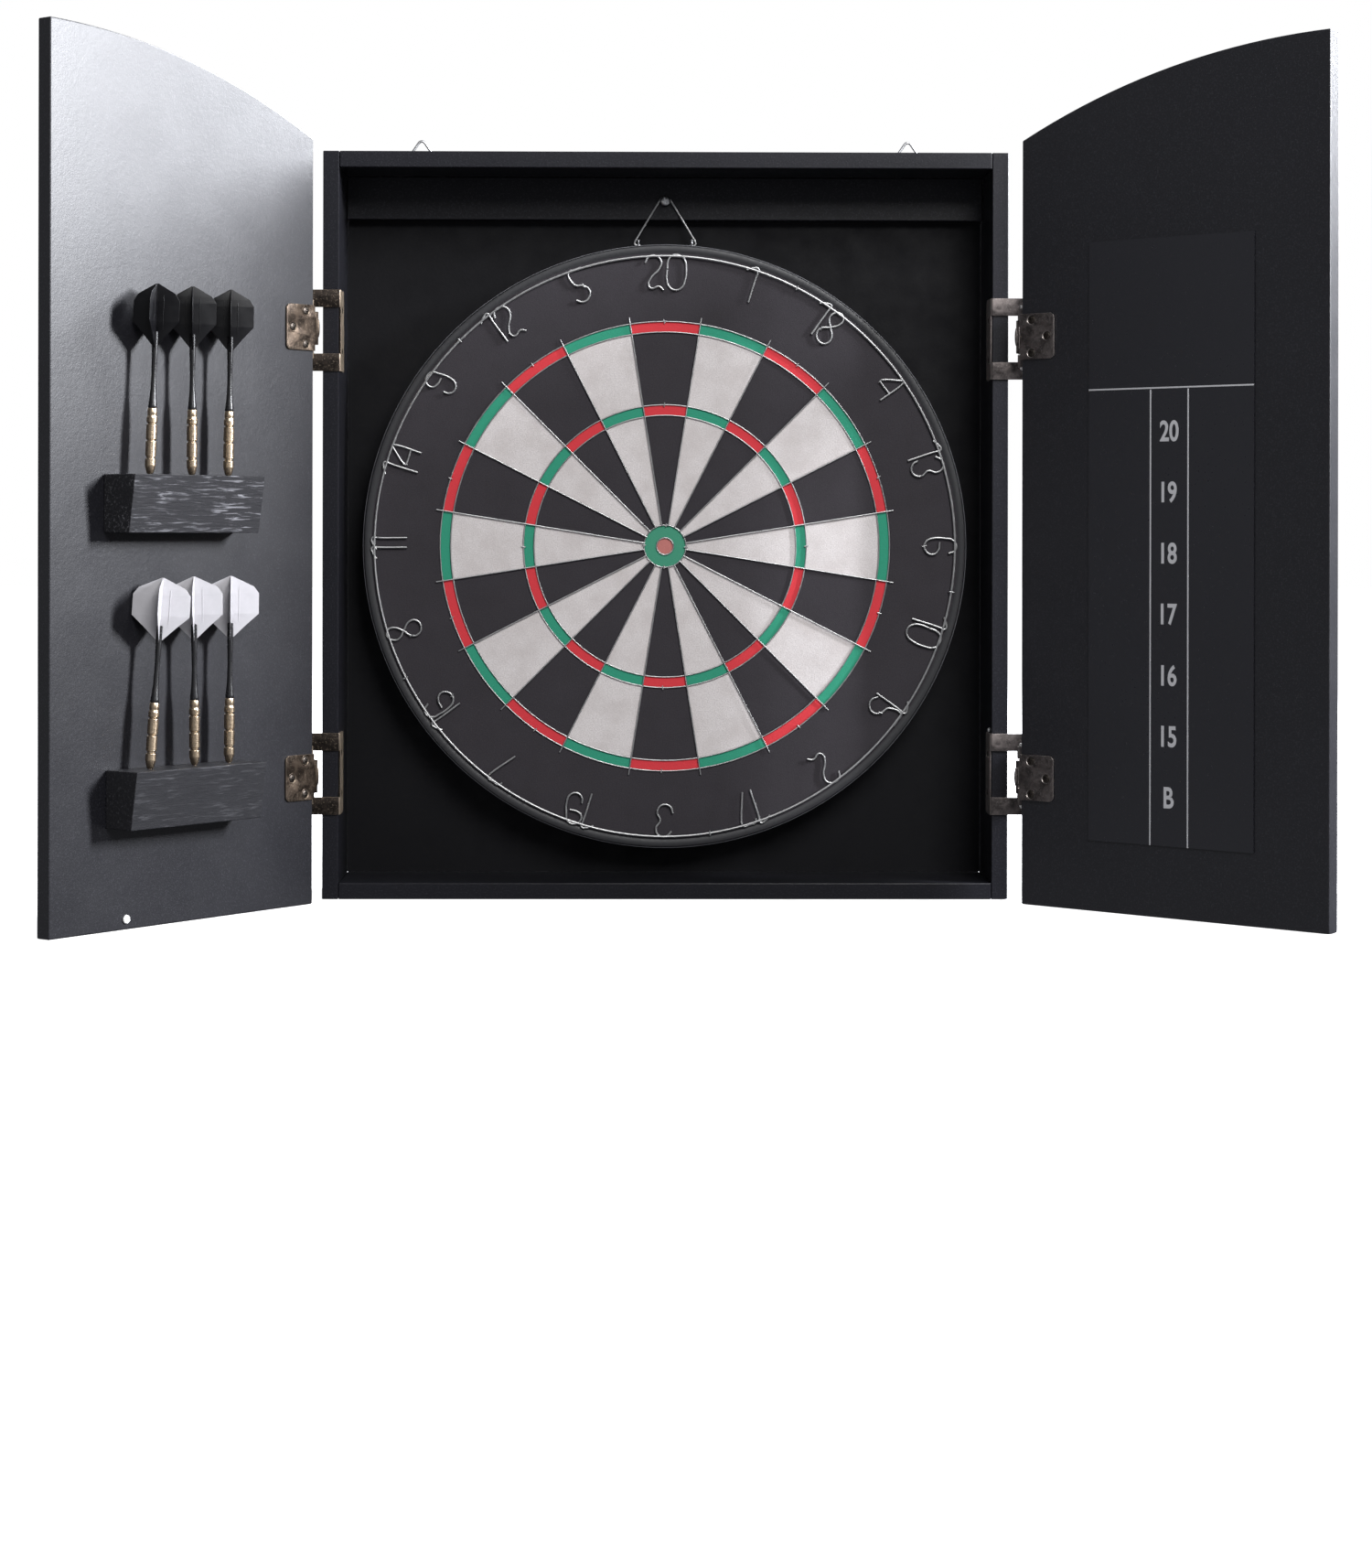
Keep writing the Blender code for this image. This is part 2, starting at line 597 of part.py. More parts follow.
def make_frame_leaf(name, side, z):
    """Clasps the side panel's front edge and carries the two outer knuckles."""
    half = SHEET / 2
    inner = INNER_X - GAP - half - PIN_X
    arm = PIN_FORWARD + DOOR_CLEARANCE - GAP - half
    web = 0.0051
    hook = -0.0025
    knuckle = 0.0033
    corners = ((inner, arm + 0.0259), (inner, arm), (web, arm), (web, hook), (0.0, hook))
    path = [(side * x, y) for x, y in rounded(corners, 0.0014, closed=False)]
    at = (side * PIN_X, PIN_Y, z)
    leaf = bent_sheet(name, path, HINGE_HEIGHT, ANTIQUE_BRASS, at)
    window = HINGE_WINDOW / 2
    far = HINGE_HEIGHT
    spaces = [
        ((-0.03, 0.005, -window), (0.0037, arm + 0.0007, window)),
        ((-0.008, -0.008, -DOOR_KNUCKLE - GAP), (0.008, 0.0, DOOR_KNUCKLE + GAP)),
        ((-0.008, -0.008, KNUCKLE_TOP), (0.008, arm - 0.0008, far)),
        ((-0.008, -0.008, -KNUCKLE_TOP), (0.008, arm - 0.0008, -far)),
    ]
    cuts = []
    for index, corner_pair in enumerate(spaces):
        one, other = (Vector((side * x, y, up)) + Vector(at) for x, y, up in corner_pair)
        cuts.append(block(f"{name}_space_{index}", one, other))
    for index, up in enumerate((-0.015, 0.015)):
        start = Vector(at) + Vector((side * (inner - 0.01), arm + 0.0125, up))
        end = start + Vector((side * 0.02, 0.0, 0.0))
        cuts.append(rod(f"{name}_hole_{index}", start, end, 0.002, 6))
    combine(leaf, cuts, "DIFFERENCE")
    for index, up in enumerate((-1, 1)):
        ends = (up * (DOOR_KNUCKLE + 0.0005), up * (KNUCKLE_TOP - 0.0002))
        start, end = (Vector(at) + Vector((0.0, 0.0, end)) for end in ends)
        combine(leaf, [rod(f"{name}_knuckle_{index}", start, end, knuckle, 10)], "UNION")
    start, end = (Vector(at) + Vector((0.0, 0.0, up)) for up in (-far, far))
    combine(leaf, [rod(f"{name}_bore", start, end, PIN_BORE, 10)], "DIFFERENCE")


def make_door_leaf(name, side, z, frame):
    """Screwed to the door's inner face; its strap runs round the edge to the middle knuckle."""
    plane = PIN_FORWARD + GAP + SHEET / 2
    strap = -0.0029
    knuckle = 0.0029
    tip = -PIN_OUT - DOOR_LEAF_WIDTH
    path = rounded(((tip, plane), (strap, plane), (strap, 0.0)), 0.0016, closed=False)
    path = [(side * x, y) for x, y in path]
    at = Vector((0.0, 0.0, z))
    leaf = bent_sheet(name, path, DOOR_LEAF_HEIGHT, ANTIQUE_BRASS, at, frame)
    above = DOOR_LEAF_HEIGHT
    shoulder = -PIN_OUT + 0.0007
    spaces = [
        ((shoulder, -0.01, DOOR_KNUCKLE), (0.01, 0.02, above)),
        ((shoulder, -0.01, -DOOR_KNUCKLE), (0.01, 0.02, -above)),
        ((-0.0064, 0.005, -0.0083), (-0.0049, 0.02, 0.0073)),
    ]
    cuts = []
    for index, corner_pair in enumerate(spaces):
        one, other = (Vector((side * x, y, up)) + at for x, y, up in corner_pair)
        cuts.append(block(f"{name}_space_{index}", one, other, parent=frame))
    for index, (from_edge, up) in enumerate(((0.009, 0.0122), (0.009, -0.0122), (0.0225, 0.0))):
        start = Vector((-side * (PIN_OUT + from_edge), 0.005, up)) + at
        end = start + Vector((0.0, 0.015, 0.0))
        cuts.append(rod(f"{name}_hole_{index}", start, end, 0.002, 6, parent=frame))
    combine(leaf, cuts, "DIFFERENCE")
    low, high = (at + Vector((0.0, 0.0, up * (DOOR_KNUCKLE - 0.0002))) for up in (-1, 1))
    combine(leaf, [rod(f"{name}_knuckle", low, high, knuckle, 10, parent=frame)], "UNION")
    low, high = (at + Vector((0.0, 0.0, up)) for up in (-above, above))
    combine(leaf, [rod(f"{name}_bore", low, high, PIN_BORE, 10, parent=frame)], "DIFFERENCE")


def make_hinge_pin(name, side, z):
    head = KNUCKLE_TOP + GAP
    upper = [(0.0, head + 0.0024), (0.0016, head + 0.0018), (0.0024, head), (PIN_RADIUS, head)]
    lower = [(radius, -up) for radius, up in reversed(upper)]
    turned(name, upper + lower, 12, STEEL, (side * PIN_X, PIN_Y, z))


def make_hinges(frames):
    for place, (side, z) in HINGES.items():
        make_frame_leaf(f"hinge_frame_leaf_{place}", side, z)
        make_door_leaf(f"hinge_door_leaf_{place}", side, z, frames[side])
        make_hinge_pin(f"hinge_pin_{place}", side, z)


def dart_barrel(name, frame):
    profile = (
        (0.0, BARREL_TOP),
        (0.0030, BARREL_TOP),
        (0.0031, 0.0405),
        (BARREL_RADIUS, 0.0395),
        (BARREL_RADIUS, 0.0060),
        (0.0021, 0.0006),
        (POINT_RADIUS, 0.0005),
        (POINT_RADIUS, 0.004 - POINT_LENGTH),
        (0.0, -POINT_LENGTH),
    )
    turned(name, profile, 12, BRASS, parent=frame)


def dart_shaft(name, frame, turn):
    """Tapers to a waist, and is split crosswise at the top for the flight."""
    profile = (
        (0.0, SHAFT_TOP),
        (0.0019, SHAFT_TOP),
        (0.0022, 0.0870),
        (0.0018, 0.0680),
        (0.0020, 0.0580),
        (0.0031, BARREL_TOP + GAP),
        (0.0, BARREL_TOP + GAP),
    )
    shaft = turned(name, profile, 12, BLACK_PLASTIC, parent=frame)
    half = FLIGHT_THICKNESS / 2 + GAP
    for index in range(2):
        slot = block(f"{name}_slot_{index}", (-half, -0.01, SLOT_BOTTOM), (half, 0.01, 0.12), parent=frame)
        slot.rotation_euler.z = turn + index * math.pi / 2
        combine(shaft, [slot], "DIFFERENCE")


def dart_flight(name, frame, turn, radius, material):
    """Two crossed sheets, pointed at the top and widest in the middle."""
    tail = DART_LENGTH - 0.044
    half = [
        (0.0011, SLOT_BOTTOM + GAP),
        (0.0011, tail),
        (radius, DART_LENGTH - 0.0265),
        (radius, DART_LENGTH - 0.012),
        (0.82 * radius, DART_LENGTH - 0.0075),
    ]
    outline = half + [(0.0, DART_LENGTH)] + [(-x, z) for x, z in reversed(half)]
    flight = plate(name, outline, FLIGHT_THICKNESS, material, parent=frame)
    flight.rotation_euler.z = turn
    other = plate(f"{name}_crossed", outline, FLIGHT_THICKNESS, parent=frame)
    other.rotation_euler.z = turn + math.pi / 2
    combine(flight, [other], "UNION")


def make_darts(level, door):
    """A holder block on the left door, drilled for the points of three darts."""
    middle, top = HOLDERS[level]
    bottom = top - HOLDER_HEIGHT
    outline = ((GAP, bottom), (HOLDER_BOTTOM_DEPTH, bottom), (HOLDER_TOP_DEPTH, top), (GAP, top))
    at = door_point(-1, middle, 0.0, 0.0)
    holder = plate(f"dart_holder_{level}", outline, HOLDER_WIDTH, BLACK_WOOD, at, door, math.pi / 2)
    round_edges(holder, 0.0006)
    material = BLACK_FLIGHT if level == "upper" else WHITE_FLIGHT
    places = zip(DART_RESTS[level], DART_LEANS[level], FLIGHT_TURNS[level])
    for number, (from_edge, lean, spin) in enumerate(places, 1):
        dart = f"dart_{level}_{number}"
        frame = bpy.data.objects.new(f"{dart}_axis", None)
        frame.location = door_point(-1, from_edge, DART_FROM_DOOR, top)
        frame.rotation_euler.y = -math.radians(lean)
        frame.parent = door
        PARTS.objects.link(frame)
        turn = math.radians(spin)
        dart_barrel(f"{dart}_barrel", frame)
        dart_shaft(f"{dart}_shaft", frame, turn)
        dart_flight(f"{dart}_flight", frame, turn, FLIGHT_RADIUS[level], material)
        end = (0.0, 0.0, -POINT_LENGTH - 0.002)
        hole = rod(f"{dart}_hole", end, (0.0, 0.0, 0.005), POINT_HOLE, 12, parent=frame)
        combine(holder, [hole], "DIFFERENCE")


def make_fittings(left, right):
    low = door_point(-1, 0.185, GAP, -0.2711)
    rod("door_bumper", low, low + Vector((0.0, 0.0015, 0.0)), 0.003, 14, WHITE_RUBBER, left)
    near, far = SCORE_PANEL_EDGES
    bottom, top = SCORE_PANEL_HEIGHTS
    one = door_point(1, near, GAP, bottom)
    other = door_point(1, far, GAP + SCORE_PANEL_THICKNESS, top)
    block("score_panel", one, other, SCORE_SHEET, right)


def main():
    make_box()
    make_hanging_screw()
    make_hangers()
    make_bail(make_board())
    make_spider()
    make_number_ring()
    left = door_frame("left_door_axis", -1, LEFT_OPEN)
    right = door_frame("right_door_axis", 1, RIGHT_OPEN)
    make_door("left_door", -1, left)
    make_door("right_door", 1, right)
    make_hinges({-1: left, 1: right})
    for level in HOLDERS:
        make_darts(level, left)
    make_fittings(left, right)
    bpy.context.view_layer.update()


main()
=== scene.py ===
"""The looks of a dart board cabinet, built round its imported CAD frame.

Metres, +Z up. -Y is the front and the wall plane is y = 0. The doors stand open.
"""

import json
import math
import random

import bmesh
import bpy
from mathutils import Matrix, Vector


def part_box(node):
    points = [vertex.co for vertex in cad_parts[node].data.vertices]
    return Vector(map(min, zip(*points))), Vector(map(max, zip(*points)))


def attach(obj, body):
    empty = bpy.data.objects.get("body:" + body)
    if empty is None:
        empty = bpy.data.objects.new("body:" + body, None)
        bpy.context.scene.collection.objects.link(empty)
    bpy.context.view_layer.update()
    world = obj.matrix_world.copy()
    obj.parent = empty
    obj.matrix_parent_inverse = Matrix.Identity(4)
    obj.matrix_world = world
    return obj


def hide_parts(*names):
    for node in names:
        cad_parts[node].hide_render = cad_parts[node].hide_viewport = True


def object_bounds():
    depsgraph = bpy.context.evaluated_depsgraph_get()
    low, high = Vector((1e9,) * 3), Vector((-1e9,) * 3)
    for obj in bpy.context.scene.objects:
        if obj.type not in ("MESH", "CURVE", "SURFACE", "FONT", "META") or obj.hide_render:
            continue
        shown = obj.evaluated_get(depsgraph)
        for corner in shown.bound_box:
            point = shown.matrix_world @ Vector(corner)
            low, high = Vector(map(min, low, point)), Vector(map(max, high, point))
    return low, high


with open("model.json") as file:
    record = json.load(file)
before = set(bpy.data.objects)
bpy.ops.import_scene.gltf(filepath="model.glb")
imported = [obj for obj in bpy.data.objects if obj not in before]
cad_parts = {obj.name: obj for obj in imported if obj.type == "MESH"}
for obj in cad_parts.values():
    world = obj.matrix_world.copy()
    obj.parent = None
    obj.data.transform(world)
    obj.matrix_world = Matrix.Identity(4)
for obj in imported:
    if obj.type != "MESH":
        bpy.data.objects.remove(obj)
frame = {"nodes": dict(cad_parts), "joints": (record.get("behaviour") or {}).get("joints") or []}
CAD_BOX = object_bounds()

# Doors and hinges, as in the CAD
PIN_OUT = 0.0076  # from a door's hinge edge out to the pin
PIN_FORWARD = 0.011  # from a door's inner face forward to the pin
SHEET = 0.0012
DOOR_KNUCKLE = 0.0121
KNUCKLE_TOP = 0.0216
HINGE_WINDOW = 0.0345
LEAF_CORNER = 0.004  # radius of a leaf's rounded corners
KNUCKLE_BORE = 0.0013
SCREW_SUNK = 0.0005  # how deep a screw head sits in its seat
PLACES = ("upper_left", "upper_right", "lower_left", "lower_right")

# Darts, measured up from a holder's top along the dart's own axis
DART_FROM_DOOR = 0.0165
DART_RESTS = {"upper": (0.1036, 0.1391, 0.1789), "lower": (0.1025, 0.1360, 0.1783)}
DART_LEANS = {"upper": (1.1, 0.3, 3.0), "lower": (0.7, -0.4, 5.3)}
FLIGHT_TURNS = {"upper": (45, 45, 30), "lower": (45, 42, 40)}
FLIGHT_RADIUS = {"upper": 0.0162, "lower": 0.0198}
DART_LENGTH = 0.1315
BARREL_TOP = 0.0455
BARREL_RADIUS = 0.00375
POINT_LENGTH = 0.030
SHAFT_TOP = 0.0985
SLOT_BOTTOM = 0.0865

# Board
DOUBLE = (0.162, 0.170)
TREBLE = (0.099, 0.107)
BULL = 0.0159
BULLSEYE = 0.00635
RADIAL_END = 0.175
NUMBER_RING = 0.2195
NUMBERS = (20, 1, 18, 4, 13, 6, 10, 15, 2, 17, 3, 19, 7, 16, 8, 11, 14, 9, 12, 5)
SECTOR = 2 * math.pi / len(NUMBERS)

JOINTS = {joint["name"]: joint for joint in frame["joints"]}


# ---------------------------------------------------------------- materials


class Finish:
    """A node material in the making: everything feeds one Principled shader."""

    def __init__(self, name, colour, roughness, metallic=0.0, **sockets):
        self.material = bpy.data.materials.new(name)
        self.material.use_nodes = True
        self.tree = self.material.node_tree
        self.shader = self.tree.nodes["Principled BSDF"]
        self.put("Base Color", (*colour, 1.0))
        self.put("Roughness", roughness)
        self.put("Metallic", metallic)
        for socket, value in sockets.items():
            self.put(socket.replace("_", " "), value)
        self.place = self.node("ShaderNodeTexCoord").outputs["Object"]

    def node(self, kind, **settings):
        made = self.tree.nodes.new(kind)
        for setting, value in settings.items():
            setattr(made, setting, value)
        return made

    def feed(self, socket, value):
        if isinstance(value, bpy.types.NodeSocket):
            self.tree.links.new(value, socket)
        else:
            socket.default_value = value

    def put(self, name, value):
        self.feed(self.shader.inputs[name], value)

    def moved(self, scale, turn):
        """Object coordinates turned about Z, then stretched."""
        node = self.node("ShaderNodeMapping", vector_type="POINT")
        self.feed(node.inputs["Vector"], self.place)
        self.feed(node.inputs["Rotation"], (0.0, 0.0, turn))
        stretch = self.node("ShaderNodeVectorMath", operation="MULTIPLY")
        self.feed(stretch.inputs[0], node.outputs[0])
        self.feed(stretch.inputs[1], scale)
        return stretch.outputs[0]

    def noise(self, scale, detail=3.0, rough=0.5, place=None, distortion=0.0):
        node = self.node("ShaderNodeTexNoise")
        self.feed(node.inputs["Vector"], place or self.place)
        self.feed(node.inputs["Scale"], scale)
        self.feed(node.inputs["Detail"], detail)
        self.feed(node.inputs["Roughness"], rough)
        self.feed(node.inputs["Distortion"], distortion)
        return node.outputs["Fac"]

    def cells(self, scale):
        node = self.node("ShaderNodeTexVoronoi")
        self.feed(node.inputs["Vector"], self.place)
        self.feed(node.inputs["Scale"], scale)
        return node.outputs

    def maths(self, operation, one, other=0.0):
        node = self.node("ShaderNodeMath", operation=operation)
        self.feed(node.inputs[0], one)
        self.feed(node.inputs[1], other)
        return node.outputs[0]

    def spread(self, value, low, high, to_low=0.0, to_high=1.0):
        node = self.node("ShaderNodeMapRange")
        for socket, given in zip(node.inputs, (value, low, high, to_low, to_high)):
            self.feed(socket, given)
        return node.outputs[0]

    def mix(self, factor, one, other):
        node = self.node("ShaderNodeMix", data_type="RGBA")
        self.feed(node.inputs[0], factor)
        for socket, colour in ((node.inputs[6], one), (node.inputs[7], other)):
            whole = isinstance(colour, bpy.types.NodeSocket)
            self.feed(socket, colour if whole else (*colour, 1.0))
        return node.outputs[2]

    def bump(self, *layers):
        """Each layer is a height from 0 to 1, its real depth and its strength."""
        normal = None
        for height, depth, strength in layers:
            node = self.node("ShaderNodeBump")
            self.feed(node.inputs["Height"], height)
            self.feed(node.inputs["Distance"], depth)
            self.feed(node.inputs["Strength"], strength)
            if normal:
                self.feed(node.inputs["Normal"], normal)
            normal = node.outputs[0]
        self.put("Normal", normal)


def paint_finish(name, sheen):
    """Satin black paint: fine orange peel, cloudy gloss and a few specks of dust."""
    finish = Finish(name, (0.012, 0.012, 0.015), 0.4, Specular_IOR_Level=sheen)
    cloud = finish.noise(9.0, 4.0)
    grain = finish.noise(900.0, 2.0)
    specks = finish.cells(70.0)
    near = finish.maths("LESS_THAN", specks["Distance"], 0.035)
    rare = finish.maths("GREATER_THAN", specks["Color"], 0.93)
    dust = finish.maths("MULTIPLY", near, rare)
    colour = finish.mix(cloud, (0.0055, 0.0055, 0.0075), (0.0095, 0.0095, 0.0125))
    colour = finish.mix(finish.spread(grain, 0.52, 0.75, 0.0, 0.5), colour, (0.035, 0.035, 0.042))
    dusty = finish.maths("MULTIPLY", dust, 0.5)
    finish.put("Base Color", finish.mix(dusty, colour, (0.4, 0.4, 0.42)))
    gloss = finish.noise(26.0, 4.0, 0.6)
    finish.put("Roughness", finish.spread(gloss, 0.25, 0.75, 0.34, 0.385))
    finish.bump((finish.noise(260.0, 2.0), 0.00018, 0.35), (grain, 0.0001, 0.5))
    return finish.material


def hardboard_finish():
    """Flat black board with the faint dimples of its press."""
    finish = Finish("black_hardboard", (0.003, 0.003, 0.004), 0.6, Specular_IOR_Level=0.15)
    cloud = finish.noise(14.0, 3.0)
    finish.put("Base Color", finish.mix(cloud, (0.0025, 0.0025, 0.0034), (0.0045, 0.0045, 0.006)))
    finish.put("Roughness", finish.spread(finish.noise(60.0), 0.3, 0.7, 0.52, 0.68))
    finish.bump((finish.noise(420.0, 2.0), 0.00015, 0.5))
    return finish.material


def wood_finish(name, turn, streaks_and_light):
    """Black stained wood, its grain along the holder's length; the last argument sets how strongly the lighter grain
    streaks show, and a high value is painted light.
    """
    finish = Finish(name, (0.02, 0.02, 0.022), 0.5, Specular_IOR_Level=0.12)
    along = finish.moved((14.0, 170.0, 170.0), turn)
    fibres = finish.noise(3.2, 5.0, 0.62, along, 0.6)
    pores = finish.noise(9.0, 3.0, 0.7, along, 1.2)
    # Lighter grain streaks: partly the wood's own grain, partly painted light, scaled by the last argument.
    rubbed_and_lit = finish.spread(fibres, 0.54, 0.66)
    rubbed_and_lit = finish.maths("MULTIPLY", rubbed_and_lit, finish.spread(finish.noise(28.0), 0.35, 0.6))
    rubbed_and_lit = finish.maths("MULTIPLY", rubbed_and_lit, streaks_and_light)
    colour = finish.mix(pores, (0.011, 0.011, 0.0125), (0.026, 0.026, 0.029))
    finish.put("Base Color", finish.mix(rubbed_and_lit, colour, (0.19, 0.19, 0.205)))
    finish.put("Roughness", finish.spread(pores, 0.3, 0.7, 0.42, 0.62))
    finish.bump((fibres, 0.0006, 0.35 + 0.4 * streaks_and_light), (pores, 0.0004, 0.35))
    return finish.material


def antique_finish(name, low, high, worn_and_highlight):
    """Mottled antique plating with cloudy stains and lighter worn freckles, and a painted highlight on knuckles,
    bends and edges.
    """
    finish = Finish(name, high, 0.42, 0.85)
    stain = finish.noise(130.0, 5.0, 0.65, distortion=0.8)
    freckle = finish.noise(750.0, 3.0, 0.6)
    colour = finish.mix(finish.spread(stain, 0.36, 0.62), low, high)
    colour = finish.mix(finish.spread(freckle, 0.56, 0.74, 0.0, 0.3), colour, worn_and_highlight)
    # Painted highlight, along with some rubbed wear: faces turned away from the object's Y axis, such as knuckles,
    # bends and edges, are mixed toward the lighter colour.
    axes = finish.node("ShaderNodeSeparateXYZ")
    finish.feed(axes.inputs[0], finish.node("ShaderNodeTexCoord").outputs["Normal"])
    flat = finish.maths("ABSOLUTE", axes.outputs[1])
    finish.put("Base Color", finish.mix(finish.spread(flat, 0.9, 0.5, 0.0, 0.85), colour, worn_and_highlight))
    finish.put("Roughness", finish.spread(stain, 0.3, 0.7, 0.3, 0.52))
    finish.bump((freckle, 0.0001, 0.35), (stain, 0.0003, 0.3))
    return finish.material


def metal_finish(name, colour, roughness, grain_scale=400.0):
    """Plain metal with a little unevenness in tone and gloss."""
    finish = Finish(name, colour, roughness, 1.0)
    grain = finish.noise(grain_scale, 4.0, 0.6)
    dull = tuple(0.72 * part for part in colour)
    finish.put("Base Color", finish.mix(grain, dull, colour))
    finish.put("Roughness", finish.spread(grain, 0.3, 0.7, 0.8 * roughness, 1.25 * roughness))
    finish.bump((grain, 0.00008, 0.3))
    return finish.material


def fibre_finish():
    """The board's printed fibre: black, white, red and green fields set out by angle and radius."""
    finish = Finish("board_fibre", (0.02, 0.018, 0.021), 0.85)
    wobble = finish.maths("MULTIPLY", finish.maths("SUBTRACT", finish.noise(160.0), 0.5), 0.0009)
    axes = finish.node("ShaderNodeSeparateXYZ")
    finish.feed(axes.inputs[0], finish.place)
    across, up = axes.outputs[0], axes.outputs[2]
    squares = [finish.maths("MULTIPLY", axis, axis) for axis in (across, up)]
    square = finish.maths("ADD", *squares)
    radius = finish.maths("ADD", finish.maths("SQRT", square), wobble)
    turn = finish.maths("DIVIDE", finish.maths("ARCTAN2", across, up), SECTOR)
    index = finish.maths("FLOOR", finish.maths("ADD", turn, 0.5))
    light = finish.maths("FLOORED_MODULO", index, 2.0)

    def inside(low, high):
        over = finish.maths("GREATER_THAN", radius, low)
        return finish.maths("MULTIPLY", over, finish.maths("LESS_THAN", radius, high))

    tufts = finish.noise(1100.0, 3.0, 0.7)
    blotch = finish.noise(45.0, 5.0, 0.6)
    black = finish.mix(blotch, (0.0185, 0.015, 0.019), (0.029, 0.025, 0.031))
    white = finish.mix(finish.spread(blotch, 0.35, 0.6), (0.62, 0.575, 0.565), (0.74, 0.7, 0.695))
    white = finish.mix(finish.spread(tufts, 0.3, 0.62), (0.5, 0.46, 0.45), white)
    red = finish.mix(tufts, (0.52, 0.022, 0.032), (0.74, 0.045, 0.06))
    green = finish.mix(tufts, (0.012, 0.2, 0.115), (0.032, 0.36, 0.225))
    field = finish.mix(light, black, white)
    band = finish.mix(light, red, green)
    bands = finish.maths("ADD", inside(*DOUBLE), inside(*TREBLE))
    colour = finish.mix(bands, field, band)
    colour = finish.mix(finish.maths("GREATER_THAN", radius, DOUBLE[1]), colour, black)
    colour = finish.mix(inside(0.0, BULL), colour, (0.045, 0.27, 0.165))
    centre = finish.mix(tufts, (0.36, 0.1, 0.09), (0.62, 0.24, 0.21))
    colour = finish.mix(inside(0.0, BULLSEYE), colour, centre)
    finish.put("Base Color", colour)
    finish.put("Roughness", finish.spread(tufts, 0.3, 0.7, 0.72, 0.95))
    finish.bump((tufts, 0.00025, 0.5), (finish.noise(320.0, 3.0), 0.0003, 0.3))
    return finish.material


def rim_finish():
    """The black coating of the board's rim, a little smoother than the fibre."""
    finish = Finish("board_rim", (0.02, 0.02, 0.022), 0.5)
    grain = finish.noise(500.0, 3.0)
    finish.put("Base Color", finish.mix(grain, (0.014, 0.014, 0.016), (0.024, 0.024, 0.027)))
    finish.put("Roughness", finish.spread(grain, 0.3, 0.7, 0.42, 0.6))
    finish.bump((grain, 0.0001, 0.4))
    return finish.material


def chipboard_finish():
    """Light chips of wood pressed into a board."""
    finish = Finish("chipboard", (0.3, 0.22, 0.13), 0.85)
    chips = finish.cells(260.0)
    tone = finish.spread(chips["Color"], 0.0, 1.0)
    finish.put("Base Color", finish.mix(tone, (0.2, 0.14, 0.08), (0.42, 0.31, 0.19)))
    finish.bump((chips["Distance"], 0.0004, 0.5))
    return finish.material


def plastic_finish(name, colour, roughness, **sockets):
    """Moulded plastic or film with a faint unevenness."""
    finish = Finish(name, colour, roughness, **sockets)
    haze = finish.noise(160.0, 3.0)
    deep = tuple(0.85 * part for part in colour)
    finish.put("Base Color", finish.mix(haze, deep, colour))
    finish.put("Roughness", finish.spread(haze, 0.3, 0.7, 0.85 * roughness, 1.2 * roughness))
    finish.bump((haze, 0.0001, 0.2))
    return finish.material


def sheet_finish():
    """The score panel: a smooth dark film with a faint cloudy gloss."""
    finish = Finish("score_sheet", (0.014, 0.014, 0.017), 0.3)
    cloud = finish.noise(7.0, 3.0)
    finish.put("Base Color", finish.mix(cloud, (0.0105, 0.0105, 0.0135), (0.0155, 0.0155, 0.0195)))
    finish.put("Roughness", finish.spread(finish.noise(500.0), 0.3, 0.7, 0.27, 0.36))
    finish.bump((finish.noise(600.0, 2.0), 0.00008, 0.25))
    return finish.material


# ---------------------------------------------------------------- mesh helpers


def add_piece(name, mesh, material, body, replaces=(), matrix=None, sharp=35.0):
    """One visible piece that rides on a CAD body."""
    piece = bpy.data.objects.new(name, mesh)
    bpy.context.scene.collection.objects.link(piece)
    if matrix:
        piece.matrix_world = matrix
    mesh.materials.clear()
    mesh.materials.append(material)
    mesh.shade_smooth()
    mesh.set_sharp_from_angle(angle=math.radians(sharp))
    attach(piece, body)
    if replaces:
        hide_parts(*replaces)
    return piece


def to_mesh(shape, name):
    bmesh.ops.recalc_face_normals(shape, faces=shape.faces)
    mesh = bpy.data.meshes.new(name)
    shape.to_mesh(mesh)
    shape.free()
    return mesh


def merged(name, meshes):
    """Many meshes as one."""
    shape = bmesh.new()
    for mesh in meshes:
        shape.from_mesh(mesh)
        bpy.data.meshes.remove(mesh)
    return to_mesh(shape, name)


def moved(mesh, matrix):
    mesh.transform(matrix)
    if matrix.determinant() < 0:
        mesh.flip_normals()
    return mesh


def lathe(name, profile, sides, closed=False, radius_at=None):
    """A surface turned about Z from points of radius and height; radius 0 closes an end."""
    shape = bmesh.new()
    rings = []
    for radius, height in profile:
        if radius == 0.0:
            rings.append([shape.verts.new((0.0, 0.0, height))] * sides)
            continue
        ring = []
        for side in range(sides):
            turn = 2 * math.pi * side / sides
            reach = radius_at(radius, height, turn) if radius_at else radius
            ring.append(shape.verts.new((reach * math.cos(turn), reach * math.sin(turn), height)))
        rings.append(ring)
    pairs = list(zip(rings, rings[1:]))
    if closed:
        pairs.append((rings[-1], rings[0]))
    for one, other in pairs:
        for side in range(sides):
            after = (side + 1) % sides
            corners = list(dict.fromkeys((one[side], one[after], other[after], other[side])))
            if len(corners) > 2:
                shape.faces.new(corners)
    return to_mesh(shape, name)


def tube(name, outer, inner, low, high, sides=28, edge=0.0002):
    """A short tube about Z with eased ends."""
    profile = (
        (inner, low),
        (outer - edge, low),
        (outer, low + edge),
        (outer, high - edge),
        (outer - edge, high),
        (inner, high),
    )
    return lathe(name, profile, sides, closed=True)


